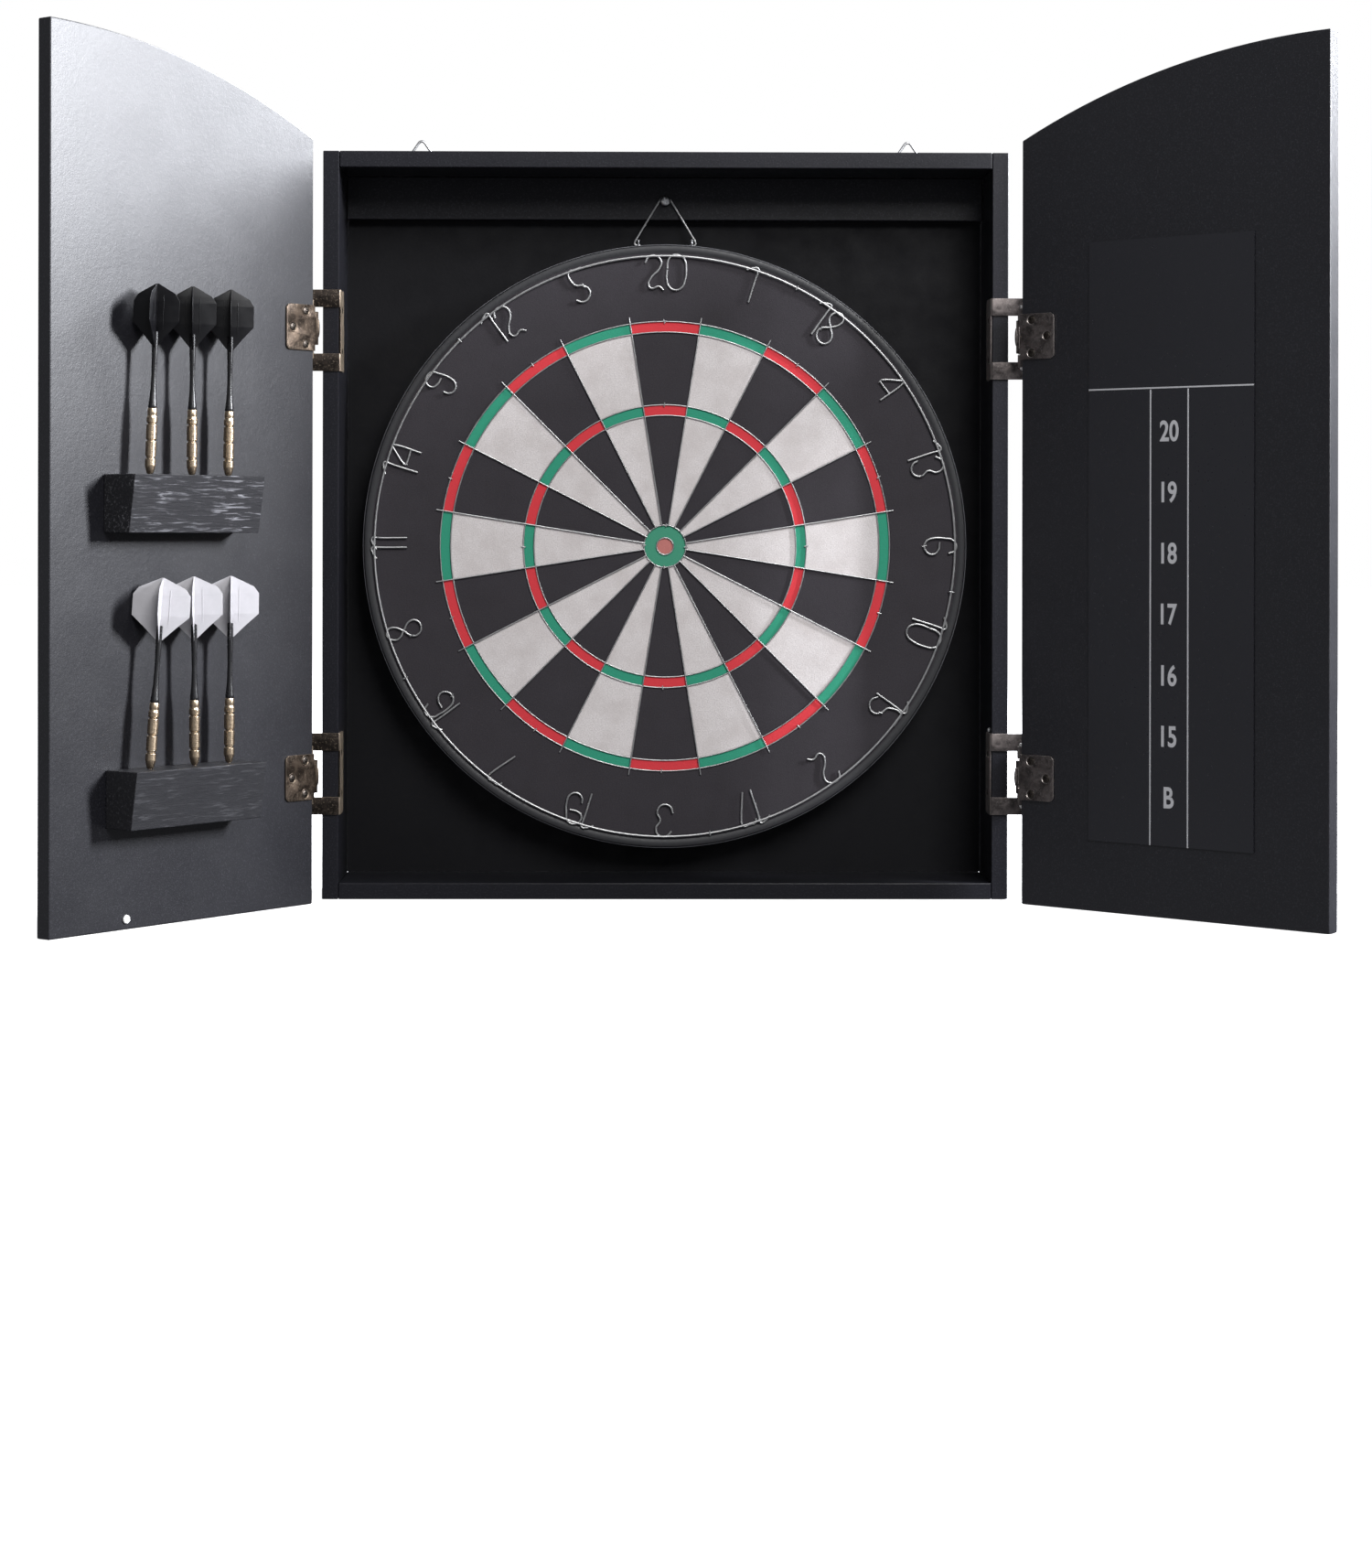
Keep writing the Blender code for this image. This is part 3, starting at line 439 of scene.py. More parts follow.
def curve_mesh(curve):
    """The welded mesh of a curve, which is then dropped."""
    guide = bpy.data.objects.new("guide", curve)
    bpy.context.scene.collection.objects.link(guide)
    graph = bpy.context.evaluated_depsgraph_get()
    mesh = bpy.data.meshes.new_from_object(guide.evaluated_get(graph))
    bpy.data.objects.remove(guide)
    bpy.data.curves.remove(curve)
    shape = bmesh.new()
    shape.from_mesh(mesh)
    bmesh.ops.remove_doubles(shape, verts=shape.verts, dist=0.000001)
    bmesh.ops.recalc_face_normals(shape, faces=shape.faces)
    shape.to_mesh(mesh)
    shape.free()
    return mesh


def wires(name, paths, radius, resolution=3):
    """Round wires along (points, cyclic, smooth) paths, as one mesh."""
    curve = bpy.data.curves.new(name, "CURVE")
    curve.dimensions = "3D"
    curve.bevel_depth = radius
    curve.bevel_resolution = resolution
    curve.use_fill_caps = True
    curve.resolution_u = 8
    for points, cyclic, smooth in paths:
        if smooth:
            spline = curve.splines.new("BEZIER")
            spline.bezier_points.add(len(points) - 1)
            for knot, place in zip(spline.bezier_points, points):
                knot.co = place
                knot.handle_left_type = knot.handle_right_type = "AUTO"
        else:
            spline = curve.splines.new("POLY")
            spline.points.add(len(points) - 1)
            for knot, place in zip(spline.points, points):
                knot.co = (*place, 1.0)
        spline.use_cyclic_u = cyclic
    return curve_mesh(curve)


def prism(name, outlines, low, high, edge, matrix=None):
    """Flat outlines of x and y, the later ones holes, extruded along z with eased edges."""
    curve = bpy.data.curves.new(name, "CURVE")
    curve.dimensions = "2D"
    curve.fill_mode = "BOTH"
    curve.extrude = (high - low) / 2 - edge
    curve.bevel_depth = edge
    curve.bevel_resolution = 2
    curve.offset = -edge
    for outline in outlines:
        spline = curve.splines.new("POLY")
        spline.points.add(len(outline) - 1)
        for knot, place in zip(spline.points, outline):
            knot.co = (*place, 0.0, 1.0)
        spline.use_cyclic_u = True
    mesh = curve_mesh(curve)
    mesh.transform(Matrix.Translation((0.0, 0.0, (low + high) / 2)))
    return moved(mesh, matrix) if matrix else mesh


def circle(x, y, radius, sides=28):
    turns = [2 * math.pi * side / sides for side in range(sides)]
    return [(x + radius * math.cos(turn), y + radius * math.sin(turn)) for turn in turns]


def rounded(corners, radius, steps=6, closed=True):
    """The path with an arc of this radius in place of each corner."""
    points = []
    count = len(corners)
    for index, corner in enumerate(corners):
        here = Vector(corner)
        if not closed and index in (0, count - 1):
            points.append(here)
            continue
        before = (Vector(corners[index - 1]) - here).normalized()
        after = (Vector(corners[(index + 1) % count]) - here).normalized()
        half = before.angle(after) / 2
        centre = here + (before + after).normalized() * radius / math.sin(half)
        spoke = here + before * radius / math.tan(half) - centre
        turn = math.copysign(math.pi - 2 * half, -before.cross(after))
        for step in range(steps + 1):
            points.append(centre + Matrix.Rotation(turn * step / steps, 2) @ spoke)
    return points


def strip_outline(path):
    """The outline of a sheet of metal bent along a path."""
    sides = ([], [])
    for index, here in enumerate(path):
        before = path[max(index - 1, 0)]
        after = path[min(index + 1, len(path) - 1)]
        along = (after - before).normalized()
        normal = Vector((-along.y, along.x)) * SHEET / 2
        sides[0].append(here + normal)
        sides[1].append(here - normal)
    return sides[0] + sides[1][::-1]


def applied(mesh, cutters, name):
    """The mesh with the cutters taken out of it."""
    made = bpy.data.objects.new(name, mesh)
    bpy.context.scene.collection.objects.link(made)
    tools = []
    for cutter in cutters:
        tool = bpy.data.objects.new(f"{name}_tool", cutter)
        bpy.context.scene.collection.objects.link(tool)
        modifier = made.modifiers.new("cut", "BOOLEAN")
        modifier.operation = "DIFFERENCE"
        modifier.solver = "EXACT"
        modifier.object = tool
        tools.append(tool)
    graph = bpy.context.evaluated_depsgraph_get()
    result = bpy.data.meshes.new_from_object(made.evaluated_get(graph))
    for obj in (*tools, made):
        bpy.data.objects.remove(obj)
    return result


def screw_mesh(name, radius, dome):
    """A cross-head screw's head facing +Z, its underside at z = 0."""
    steps = 7
    profile = [(0.0, -0.0004), (radius, -0.0004), (radius, 0.0)]
    for step in range(1, steps):
        turn = math.pi / 2 * step / steps
        profile.append((radius * math.cos(turn), dome * math.sin(turn)))
    profile.append((0.0, dome))
    head = lathe(name, profile, 32)
    long, wide = 0.62 * radius, 0.13 * radius
    cutters = []
    for turn in (0.35, 0.35 + math.pi / 2):
        slot = prism("slot", [[(-long, -wide), (long, -wide), (long, wide), (-long, wide)]],
                     0.15 * dome, 3 * dome, 0.00002, Matrix.Rotation(turn, 4, "Z"))
        cutters.append(slot)
    return applied(head, cutters, name)


# ---------------------------------------------------------------- doors' own space


def door_matrix(side):
    """From a door's own space, in which it lies as when closed, with the origin on its pin."""
    joint = JOINTS["left_door_hinge" if side < 0 else "right_door_hinge"]
    opening = max(abs(limit) for limit in joint["range_deg"])
    pin = joint["pos_m"]
    turn = Matrix.Rotation(side * math.radians(opening), 4, "Z")
    return Matrix.Translation((pin[0], pin[1], 0.0)) @ turn


def door_point(side, from_edge, from_face, z):
    """A point of a door in its own space."""
    return Vector((-side * (from_edge + PIN_OUT), PIN_FORWARD + from_face, z))


DOORS = {side: door_matrix(side) for side in (-1, 1)}


def door_turn(side):
    """The angle that undoes a door's opening, for grain that runs along it."""
    return -DOORS[side].to_euler().z


# ---------------------------------------------------------------- box


def dress_box():
    """The box and the doors keep their CAD shapes."""
    paint = paint_finish("satin_black_doors", 0.5)
    for node in ("left_door", "right_door"):
        dress(node, paint)
    paint = paint_finish("satin_black_box", 0.2)
    for node in ("side_panel_left", "side_panel_right", "top_panel", "bottom_panel", "hanging_rail"):
        dress(node, paint)
    dress("back_panel", hardboard_finish())


def dress(node, material):
    """A CAD node keeps its shape and gets a better material."""
    mesh = frame["nodes"][node].data
    mesh.materials.clear()
    mesh.materials.append(material)


def make_hanging_screw(zinc):
    low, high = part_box("hanging_screw")
    centre = (low + high) / 2
    radius = (high.x - low.x) / 2
    head_rear = low.y + 0.0022
    head = screw_mesh("screw_head", radius, 0.0022)
    shank = lathe("shank", ((0.0, -0.0130), (0.0017, -0.0115), (0.00175, 0.0), (0.0, 0.0)), 20)
    facing = Matrix.Translation((centre.x, head_rear, centre.z)) @ Matrix.Rotation(math.pi / 2, 4, "X")
    mesh = moved(merged("hanging_screw_look", [head, shank]), facing)
    add_piece("hanging_screw_look", mesh, zinc, "cabinet", ("hanging_screw",))


def make_peg(rubber):
    low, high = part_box("wall_peg")
    radius = (high.z - low.z) / 2
    length = high.x - low.x
    profile = ((0.0, 0.0), (radius, 0.0), (radius, 0.6 * length), (0.7 * radius, 0.92 * length), (0.0, length))
    facing = Matrix.Translation((high.x, (low.y + high.y) / 2, (low.z + high.z) / 2))
    mesh = moved(lathe("wall_peg_look", profile, 20), facing @ Matrix.Rotation(-math.pi / 2, 4, "Y"))
    add_piece("wall_peg_look", mesh, rubber, "cabinet", ("wall_peg",))


def make_hangers(zinc):
    """A strap folded round a wire triangle, held by a pan-head screw."""
    screw = screw_mesh("strap_screw", 0.003, 0.0014)
    for name in ("left", "right"):
        low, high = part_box(f"hanger_strap_{name}")
        middle = (low.x + high.x) / 2
        pivot = JOINTS[f"hanger_ring_{name}_swivel"]["pos_m"]
        half = (high.x - low.x) / 2
        front = low.y
        thick = 0.001
        back = Matrix.Rotation(-math.pi / 2, 4, "X")
        corners = ((-half, -pivot[2]), (half, -pivot[2]), (half, -low.z), (-half, -low.z))
        outline = rounded(corners, 0.0025)
        hole = circle(0.0, -(pivot[2] - 0.014), 0.0017)
        plate = prism("strap", [outline, hole], front, front + thick, 0.00015)
        plate.transform(Matrix.Translation((middle, 0.0, 0.0)) @ back)
        sleeve = tube("sleeve", high.y - pivot[1], 0.0012, -half, half)
        sleeve.transform(Matrix.Translation(pivot) @ Matrix.Rotation(math.pi / 2, 4, "Y"))
        mesh = merged(f"hanger_strap_{name}_look", [plate, sleeve])
        add_piece(mesh.name, mesh, zinc, "cabinet", (f"hanger_strap_{name}",))
        head = moved(screw.copy(), Matrix.Translation((middle, front + thick, pivot[2] - 0.014)) @ back)
        add_piece(f"hanger_screw_{name}", head, zinc, "cabinet")
        low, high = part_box(f"hanger_ring_{name}")
        wire = (high.y - low.y) / 2
        base = (high.x - low.x) / 2 - wire
        corners = ((-base - 0.0008, 0.0), (base + 0.0008, 0.0), (0.0, 0.0213))
        path = [(middle + x, pivot[1], pivot[2] + z) for x, z in rounded(corners, 0.0028, 8)]
        ring = wires(f"hanger_ring_{name}_look", [(path, True, False)], wire, 4)
        add_piece(ring.name, ring, zinc, f"hanger_ring_{name}", (f"hanger_ring_{name}",))


# ---------------------------------------------------------------- hinges


def frame_leaf_parts(side, pin_z, place):
    """The leaf that clasps the side panel: a screwed plate, two arms, a web and two knuckles."""
    pin = JOINTS["left_door_hinge" if side < 0 else "right_door_hinge"]["pos_m"]
    low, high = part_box(f"hinge_frame_leaf_{place}")
    inner = (low.x if side > 0 else high.x) - pin[0]
    inner = side * inner + SHEET / 2
    rear = high.y - pin[1]
    half_height = (high.z - low.z) / 2
    window = HINGE_WINDOW / 2
    arm = rear - 0.0259
    web, hook = 0.0051, -0.0025
    bend = 0.0014

    def flat(points):
        return [Vector((side * x, y)) for x, y in rounded(points, bend, closed=False)]

    parts = []
    arm_path = flat(((inner, arm + 0.004), (inner, arm), (web, arm), (web, arm - 0.003)))
    web_path = flat(((web, arm - 0.0005), (web, 0.0001)))
    hook_path = flat(((web, 0.002), (web, hook), (0.0008, hook)))
    parts.append(prism("web", [strip_outline(web_path)], -KNUCKLE_TOP, KNUCKLE_TOP, 0.0002))
    for way in (-1, 1):
        ends = sorted((way * window, way * half_height))
        parts.append(prism("arm", [strip_outline(arm_path)], *ends, 0.00025))
        ends = sorted((way * 0.0126, way * KNUCKLE_TOP))
        parts.append(prism("hook", [strip_outline(hook_path)], *ends, 0.0002))
        parts.append(tube("knuckle", 0.0033, KNUCKLE_BORE, *ends))
    front = arm + 0.0008
    corners = [(front, -half_height), (rear, -half_height), (rear, half_height), (front, half_height)]
    outline = rounded(corners, LEAF_CORNER, closed=False)
    seats = [(arm + 0.0125, up) for up in (-0.015, 0.015)]
    holes = [circle(y, up, 0.0034) for y, up in seats]
    plate = prism("plate", [outline, *holes], -SHEET / 2, SHEET / 2, 0.00025)
    stand = Matrix(((0, 0, side, side * inner), (1, 0, 0, 0), (0, 1, 0, 0), (0, 0, 0, 1)))
    parts.append(moved(plate, stand))
    seats = [(side * inner, y, up) for y, up in seats]
    facing = Matrix.Rotation(-side * math.pi / 2, 4, "Y")
    at = Matrix.Translation((pin[0], pin[1], pin_z))
    return parts, seats, facing, at


def dish_mesh():
    """The countersunk seat round a screw, set into a sheet whose face is at z = 0."""
    profile = (
        (0.0042, -0.0009),
        (0.0042, -0.0003),
        (0.0041, 0.00002),
        (0.0038, 0.00016),
        (0.0035, 0.0001),
        (0.0030, -0.0005),
        (0.0, -0.0006),
        (0.0, -0.0009),
    )
    return lathe("dish", profile, 32)


def door_leaf_parts(side):
    """The leaf on the door's inner face: plate, tongue with its slot, and the middle knuckle."""
    plane = PIN_FORWARD + 0.0003 + SHEET / 2
    tip = -PIN_OUT - 0.029
    shoulder = -PIN_OUT + 0.0007
    strap = -0.0029
    half = 0.0335 / 2
    corners = [(shoulder, -half), (tip, -half), (tip, half), (shoulder, half)]
    outline = rounded(corners, LEAF_CORNER, closed=False)
    outline += [Vector((shoulder, DOOR_KNUCKLE)), Vector((strap - 0.0016, DOOR_KNUCKLE))]
    outline += [Vector((strap - 0.0016, -DOOR_KNUCKLE)), Vector((shoulder, -DOOR_KNUCKLE))]
    far, near, foot, head = -0.0064, -0.0049, -0.0083, 0.0073
    slot = rounded(((far, foot), (near, foot), (near, head), (far, head)), 0.0006)
    seats = [(-PIN_OUT - 0.009, 0.0122), (-PIN_OUT - 0.009, -0.0122), (-PIN_OUT - 0.0225, 0.0)]
    holes = [circle(x, z, 0.0036) for x, z in seats]
    plate = prism("plate", [outline, slot, *holes], -SHEET / 2, SHEET / 2, 0.00025)
    upright = Matrix(((side, 0, 0, 0), (0, 0, 1, plane), (0, 1, 0, 0), (0, 0, 0, 1)))
    parts = [moved(plate, upright)]
    bent = rounded(((strap - 0.0030, plane), (strap, plane), (strap, 0.0004)), 0.0016, closed=False)
    bent = [Vector((side * x, y)) for x, y in bent]
    parts.append(prism("strap", [strip_outline(bent)], -DOOR_KNUCKLE, DOOR_KNUCKLE, 0.00025))
    parts.append(tube("knuckle", 0.0029, KNUCKLE_BORE, -DOOR_KNUCKLE, DOOR_KNUCKLE))
    cam = lathe("cam", [(math.sin(turn) * 0.5, -math.cos(turn)) for turn in
                        (math.pi * step / 12 for step in range(13))], 20)
    size = Matrix.Diagonal((0.0026, 0.0019, 0.0068, 1.0))
    parts.append(moved(cam, Matrix.Translation((side * (strap - 0.0003), plane + 0.0001, 0.0)) @ size))
    seats = [(side * x, plane + SHEET / 2, z) for x, z in seats]
    return parts, seats


def fasteners(seats, facing, dish, screw):
    """The countersunk seats and the screw heads of one leaf."""
    spots = [Matrix.Translation(seat) @ facing for seat in seats]
    sunk = Matrix.Translation((0.0, 0.0, -SCREW_SUNK))
    dishes = [moved(dish.copy(), spot) for spot in spots]
    return dishes, [moved(screw.copy(), spot @ sunk) for spot in spots]


def make_hinges(steel, dark_screw):
    # One antique brass in three tones, set for how light falls on each place: painted light in a lighter, greyer
    # tone on the right hinges, painted shade in a darker tone on the left door leaves, and a deep painted shade on
    # the left frame leaves inside the box.
    lit_and_shaded_brass = {
        -1: antique_finish("antique_brass_left_shaded_tone", (0.034, 0.025, 0.019), (0.095, 0.07, 0.051), (0.42, 0.34, 0.26)),
        1: antique_finish("antique_brass_right_lit_tone", (0.06, 0.052, 0.05), (0.15, 0.13, 0.124), (0.42, 0.38, 0.36)),
    }
    clasp = antique_finish("antique_brass_clasp", (0.012, 0.0095, 0.008), (0.034, 0.026, 0.021), (0.5, 0.4, 0.3))
    screw = screw_mesh("hinge_screw", 0.0030, 0.0009)
    dish = dish_mesh()
    for place in PLACES:
        side = -1 if place.endswith("left") else 1
        low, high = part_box(f"hinge_pin_{place}")
        pin_z = (low.z + high.z) / 2
        parts, seats, facing, at = frame_leaf_parts(side, pin_z, place)
        facing = facing @ Matrix.Translation((0.0, 0.0, SHEET / 2))
        dishes, heads = fasteners(seats, facing, dish, screw)
        mesh = merged(f"frame_leaf_{place}", parts + dishes)
        add_piece(mesh.name, mesh, clasp if side < 0 else lit_and_shaded_brass[side], "cabinet",
                  (f"hinge_frame_leaf_{place}",), at)
        mesh = merged(f"frame_leaf_screws_{place}", heads)
        add_piece(mesh.name, mesh, dark_screw, "cabinet", matrix=at)
        parts, seats = door_leaf_parts(side)
        dishes, heads = fasteners(seats, Matrix.Rotation(-math.pi / 2, 4, "X"), dish, screw)
        body = "left_door" if side < 0 else "right_door"
        at = DOORS[side] @ Matrix.Translation((0.0, 0.0, pin_z))
        mesh = merged(f"door_leaf_{place}", parts + dishes)
        add_piece(mesh.name, mesh, lit_and_shaded_brass[side], body, (f"hinge_door_leaf_{place}",), at)
        mesh = merged(f"door_leaf_screws_{place}", heads)
        add_piece(mesh.name, mesh, dark_screw, body, matrix=at)
        make_pin(place, low, high, steel)


def make_pin(place, low, high, steel):
    top = (high.z - low.z) / 2
    head = (high.x - low.x) / 2
    dome = [(0.0, top), (0.45 * head, top - 0.0003), (0.8 * head, top - 0.0010), (head, top - 0.0020),
            (head, top - 0.0024), (0.0012, top - 0.0024)]
    profile = dome + [(radius, -height) for radius, height in reversed(dome)]
    mesh = lathe(f"pin_{place}", profile, 28)
    add_piece(mesh.name, mesh, steel, "cabinet", (f"hinge_pin_{place}",),
              Matrix.Translation((low + high) / 2))


# ---------------------------------------------------------------- board


def board_matrix():
    """From the board's own space, with its origin on the board's axis at the wall plane."""
    low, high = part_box("dartboard_band")
    centre = (low + high) / 2
    return Matrix.Translation((centre.x, 0.0, centre.z))


def board_point(turn, radius, depth):
    """A point clockwise from the top of the board, in its own space."""
    return Vector((radius * math.sin(turn), depth, radius * math.cos(turn)))


def make_board_face(fibre, rim, chipboard, band_steel):
    low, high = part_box("dartboard_face")
    radius = (high.x - low.x) / 2
    face, rear = -low.y, -high.y
    facing = Matrix.Rotation(math.pi / 2, 4, "X")
    at = board_matrix()
    edge = radius - 0.0055
    rings = (0.0, BULLSEYE, BULL, 0.05, TREBLE[0], TREBLE[1], 0.135, *DOUBLE, 0.195, edge)
    profile = [(ring, face) for ring in rings] + [(edge, rear), (0.0, rear)]
    mesh = moved(lathe("dartboard_face_look", profile, 180), facing)
    add_piece(mesh.name, mesh, fibre, "dartboard", ("dartboard_face",), at)
    profile = (
        (edge - 0.0002, face - 0.002),
        (edge - 0.0002, face + 0.0001),
        (edge + 0.0012, face + 0.0006),
        (radius - 0.0016, face + 0.0008),
        (radius - 0.0005, face + 0.0004),
        (radius, face - 0.0008),
        (radius, rear + 0.0004),
        (edge - 0.0002, rear + 0.0004),
    )
    mesh = moved(lathe("dartboard_rim", profile, 180, closed=True), facing)
    add_piece(mesh.name, mesh, rim, "dartboard", matrix=at)
    dress("dartboard_backing", chipboard)
    low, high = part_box("dartboard_band")
    outer = (high.x - low.x) / 2
    front, back = -low.y, -high.y
    profile = ((outer, back), (outer, front - 0.0002), (outer - 0.0001, front), (outer - 0.0005, front),
               (outer - 0.0006, front - 0.0002), (outer - 0.0006, back))
    mesh = moved(lathe("dartboard_band_look", profile, 180, closed=True), facing)
    add_piece(mesh.name, mesh, band_steel, "dartboard", ("dartboard_band",), at)


def ring_path(radius, depth, count=120):
    return [board_point(2 * math.pi * step / count, radius, depth) for step in range(count)], True, False


def make_spider(steel):
    low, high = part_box("dartboard_spider")
    wire = 0.00052
    depth = high.y - wire
    over = depth - wire
    paths = [ring_path(radius, depth) for radius in (*DOUBLE, *TREBLE, BULL)]
    for index in range(len(NUMBERS)):
        turn = SECTOR * (index + 0.5)
        bow = 0.0006 * math.sin(index * 2.3) / RADIAL_END
        knots = ((BULL - 0.0004, over), (BULL + 0.002, over - 0.0001), (0.06, over), (0.13, over),
                 (DOUBLE[1], over), (RADIAL_END, over + 0.0002))
        points = [board_point(turn + bow * reach, reach, y) for reach, y in knots]
        paths.append((points, False, True))
    mesh = wires("spider", paths, wire)
    add_piece(mesh.name, mesh, steel, "dartboard", ("dartboard_spider",), board_matrix())
    mesh = wires("bullseye_wire", [ring_path(BULLSEYE, depth, 48)], wire)
    add_piece(mesh.name, mesh, steel, "dartboard", ("bullseye_ring",), board_matrix())
    make_staples(steel, depth)


def staple(turn, radius, depth, length=0.0028, lean=0.0):
    """A short wire hammered over a ring, its legs bent into the fibre."""
    half = length / 2
    return [
        board_point(turn - lean * half / radius, radius - half, depth + 0.0012),
        board_point(turn - lean * half / radius, radius - half + 0.0002, depth - 0.0006),
        board_point(turn + lean * half / radius, radius + half - 0.0002, depth - 0.0006),
        board_point(turn + lean * half / radius, radius + half, depth + 0.0012),
    ], False, False


def make_staples(steel, depth):
    chance = random.Random(7)
    paths = []
    for index in range(len(NUMBERS)):
        turn = SECTOR * (index + chance.uniform(-0.05, 0.05))
        if index % 2 == 0:
            paths.append(staple(turn, DOUBLE[1], depth, lean=chance.uniform(-0.3, 0.3)))
        if index % 5 == 0:
            paths.append(staple(turn, TREBLE[1], depth, lean=chance.uniform(-0.3, 0.3)))
    for index in range(4):
        paths.append(staple(math.pi / 2 * (index + 0.03), BULL, depth, 0.0024))
    mesh = wires("spider_staples", paths, 0.00045)
    add_piece(mesh.name, mesh, steel, "dartboard", matrix=board_matrix())


# Each digit's wire in millimetres: x from its left, y from the ring inwards (negative).
DIGITS = {
    "0": (15.0, [(0.6, -10.4), (0.3, -17), (1.9, -22.6), (6.2, -25.6), (11.2, -24), (14, -18.5),
                 (15, -9), (13.6, -2), (9, 0.9), (4.2, 0.2), (1.2, -4), (0.7, -9.6)]),
    "1": (5.0, [(-3.6, -1.4), (1.0, 1.4), (4.2, 2.1), (5.4, 0.6), (5.0, -2), (5.0, -24.5)]),
    "2": (14.0, [(0.2, -4.6), (2.6, -0.6), (7.5, 0.4), (12.2, -3.6), (11.4, -8.6), (4.2, -17), (2.8, -21.6),
                 (4.8, -24.2), (10.6, -23), (14.2, -25.8)]),
    "3": (13.0, [(1.2, -3.9), (6.0, 0.2), (10.8, -0.8), (12.9, -6.4), (9.8, -12), (12, -18.8), (8, -24),
                 (2, -22.4), (0.2, -17.6)]),
    "4": (13.0, [(12.6, -22.5), (12.4, -2), (11.4, 0.3), (9.8, -1.4), (1, -12.4), (0.6, -14), (2.2, -14.4),
                 (12.2, -14.2)]),
    "5": (12.0, [(10.4, 0.6), (5, 0.4), (0.6, 0.2), (-0.8, -2.4), (0.2, -7.6), (2.2, -11), (8, -13.2),
                 (11.2, -17.9), (8.9, -23), (4.3, -24.8), (-0.6, -22)]),
    "6": (13.0, [(11.6, -4.6), (9.2, 0.2), (4.8, 0.9), (1.0, -2.4), (0.3, -6), (0.2, -17), (2, -21.2),
                 (6, -23.2), (10.4, -21.4), (12.4, -16.6), (9.6, -12.8), (3, -11.4)]),
    "7": (12.0, [(0.2, -2.6), (1.4, 0.3), (6, 0.6), (11.4, 0.2), (11.6, -2), (4, -24.5)]),
    "8": (13.0, [(6.6, -11.8), (2.6, -8.2), (1.6, -4), (5.6, 0.8), (10.4, -0.4), (11.2, -5), (6.6, -11.8),
                 (1.2, -16.6), (0.6, -21.4), (5, -25.4), (10.6, -24), (12, -18.6), (6.6, -11.8)]),
    "9": (14.0, [(9.9, -8), (4.4, -8.4), (0.5, -6.5), (0.2, -1.6), (3.6, 1.3), (8.9, 0.8), (11.8, -4.8),
                 (14, -12.9), (13.2, -18.6), (8.4, -21.6), (4, -19.4), (2.7, -15.5)]),
}
DIGIT_SPACE = 2.2


def make_number_ring(steel):
    low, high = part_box("number_ring")
    depth = low.y + 0.0010
    ring = wires("number_ring_wire", [ring_path(NUMBER_RING, depth, 160)], 0.00095)
    strokes = []
    ticks = []
    for index, number in enumerate(NUMBERS):
        text = str(number)
        width = sum(DIGITS[digit][0] for digit in text) + DIGIT_SPACE * (len(text) - 1)
        start = -width / 2
        turn = SECTOR * index
        out = board_point(turn, 1.0, 0.0)
        across = board_point(turn + math.pi / 2, 1.0, 0.0)
        for digit in text:
            breadth, knots = DIGITS[digit]
            points = []
            for x, y in knots:
                x = (start + x) / 1000
                reach = NUMBER_RING - x * x / (2 * NUMBER_RING) + y / 1000
                points.append(out * reach + across * x + Vector((0.0, depth + 0.0001, 0.0)))
            strokes.append((points, False, True))
            start += breadth + DIGIT_SPACE
        middle = points[len(points) // 2 + 1]
        ticks.append(([middle - out * 0.0016 + across * 0.0004, middle + out * 0.0016 - across * 0.0004],
                      False, False))
    digits = wires("digits", strokes, 0.0008)
    marks = moved(wires("marks", ticks, 0.0004), Matrix.Translation((0.0, -0.0009, 0.0)))
    pegs = wires("pegs", [staple(SECTOR * (index + 0.5), NUMBER_RING, depth - 0.0004, 0.0034)
                          for index in range(1, len(NUMBERS), 4)], 0.00045)
    mesh = merged("number_ring_look", [ring, digits, marks, pegs])
    add_piece(mesh.name, mesh, steel, "dartboard", ("number_ring",), board_matrix())


def make_bail(steel, zinc):
    """The thin V of wire over the screw, with its feet turned in behind two nails."""
    low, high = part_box("bail_wire")
    y = (low.y + high.y) / 2
    wire = 0.0008
    foot_x, foot, crown = high.x - 0.0011, low.z + 0.0011, high.z - 0.0011
    half = [(0.0016, crown - 0.0002), (0.0042, crown - 0.0026), (foot_x - 0.0008, foot + 0.0036),
            (foot_x, foot + 0.0014), (foot_x - 0.001, foot), (foot_x - 0.0045, foot - 0.0001)]
    points = [Vector((-x, y, z)) for x, z in reversed(half)] + [Vector((0.0, y, crown + 0.0002))]
    points += [Vector((x, y, z)) for x, z in half]
    mesh = wires("bail_wire_look", [(points, False, False)], wire)
    add_piece(mesh.name, mesh, steel, "dartboard", ("bail_wire",))
    for name in ("left", "right"):
        low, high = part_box(f"bail_nail_{name}")
        middle = (low + high) / 2
        profile = ((0.0, high.z), (0.0011, high.z - 0.0001), (0.0015, high.z - 0.0004), (0.0015, high.z - 0.0008),
                   (0.0007, high.z - 0.001), (0.0007, low.z + 0.002), (0.0, low.z))
        mesh = lathe(f"bail_nail_{name}_look", profile, 20)
        add_piece(mesh.name, mesh, zinc, "dartboard", (f"bail_nail_{name}",),
                  Matrix.Translation((middle.x, middle.y, 0.0)))


# ---------------------------------------------------------------- darts


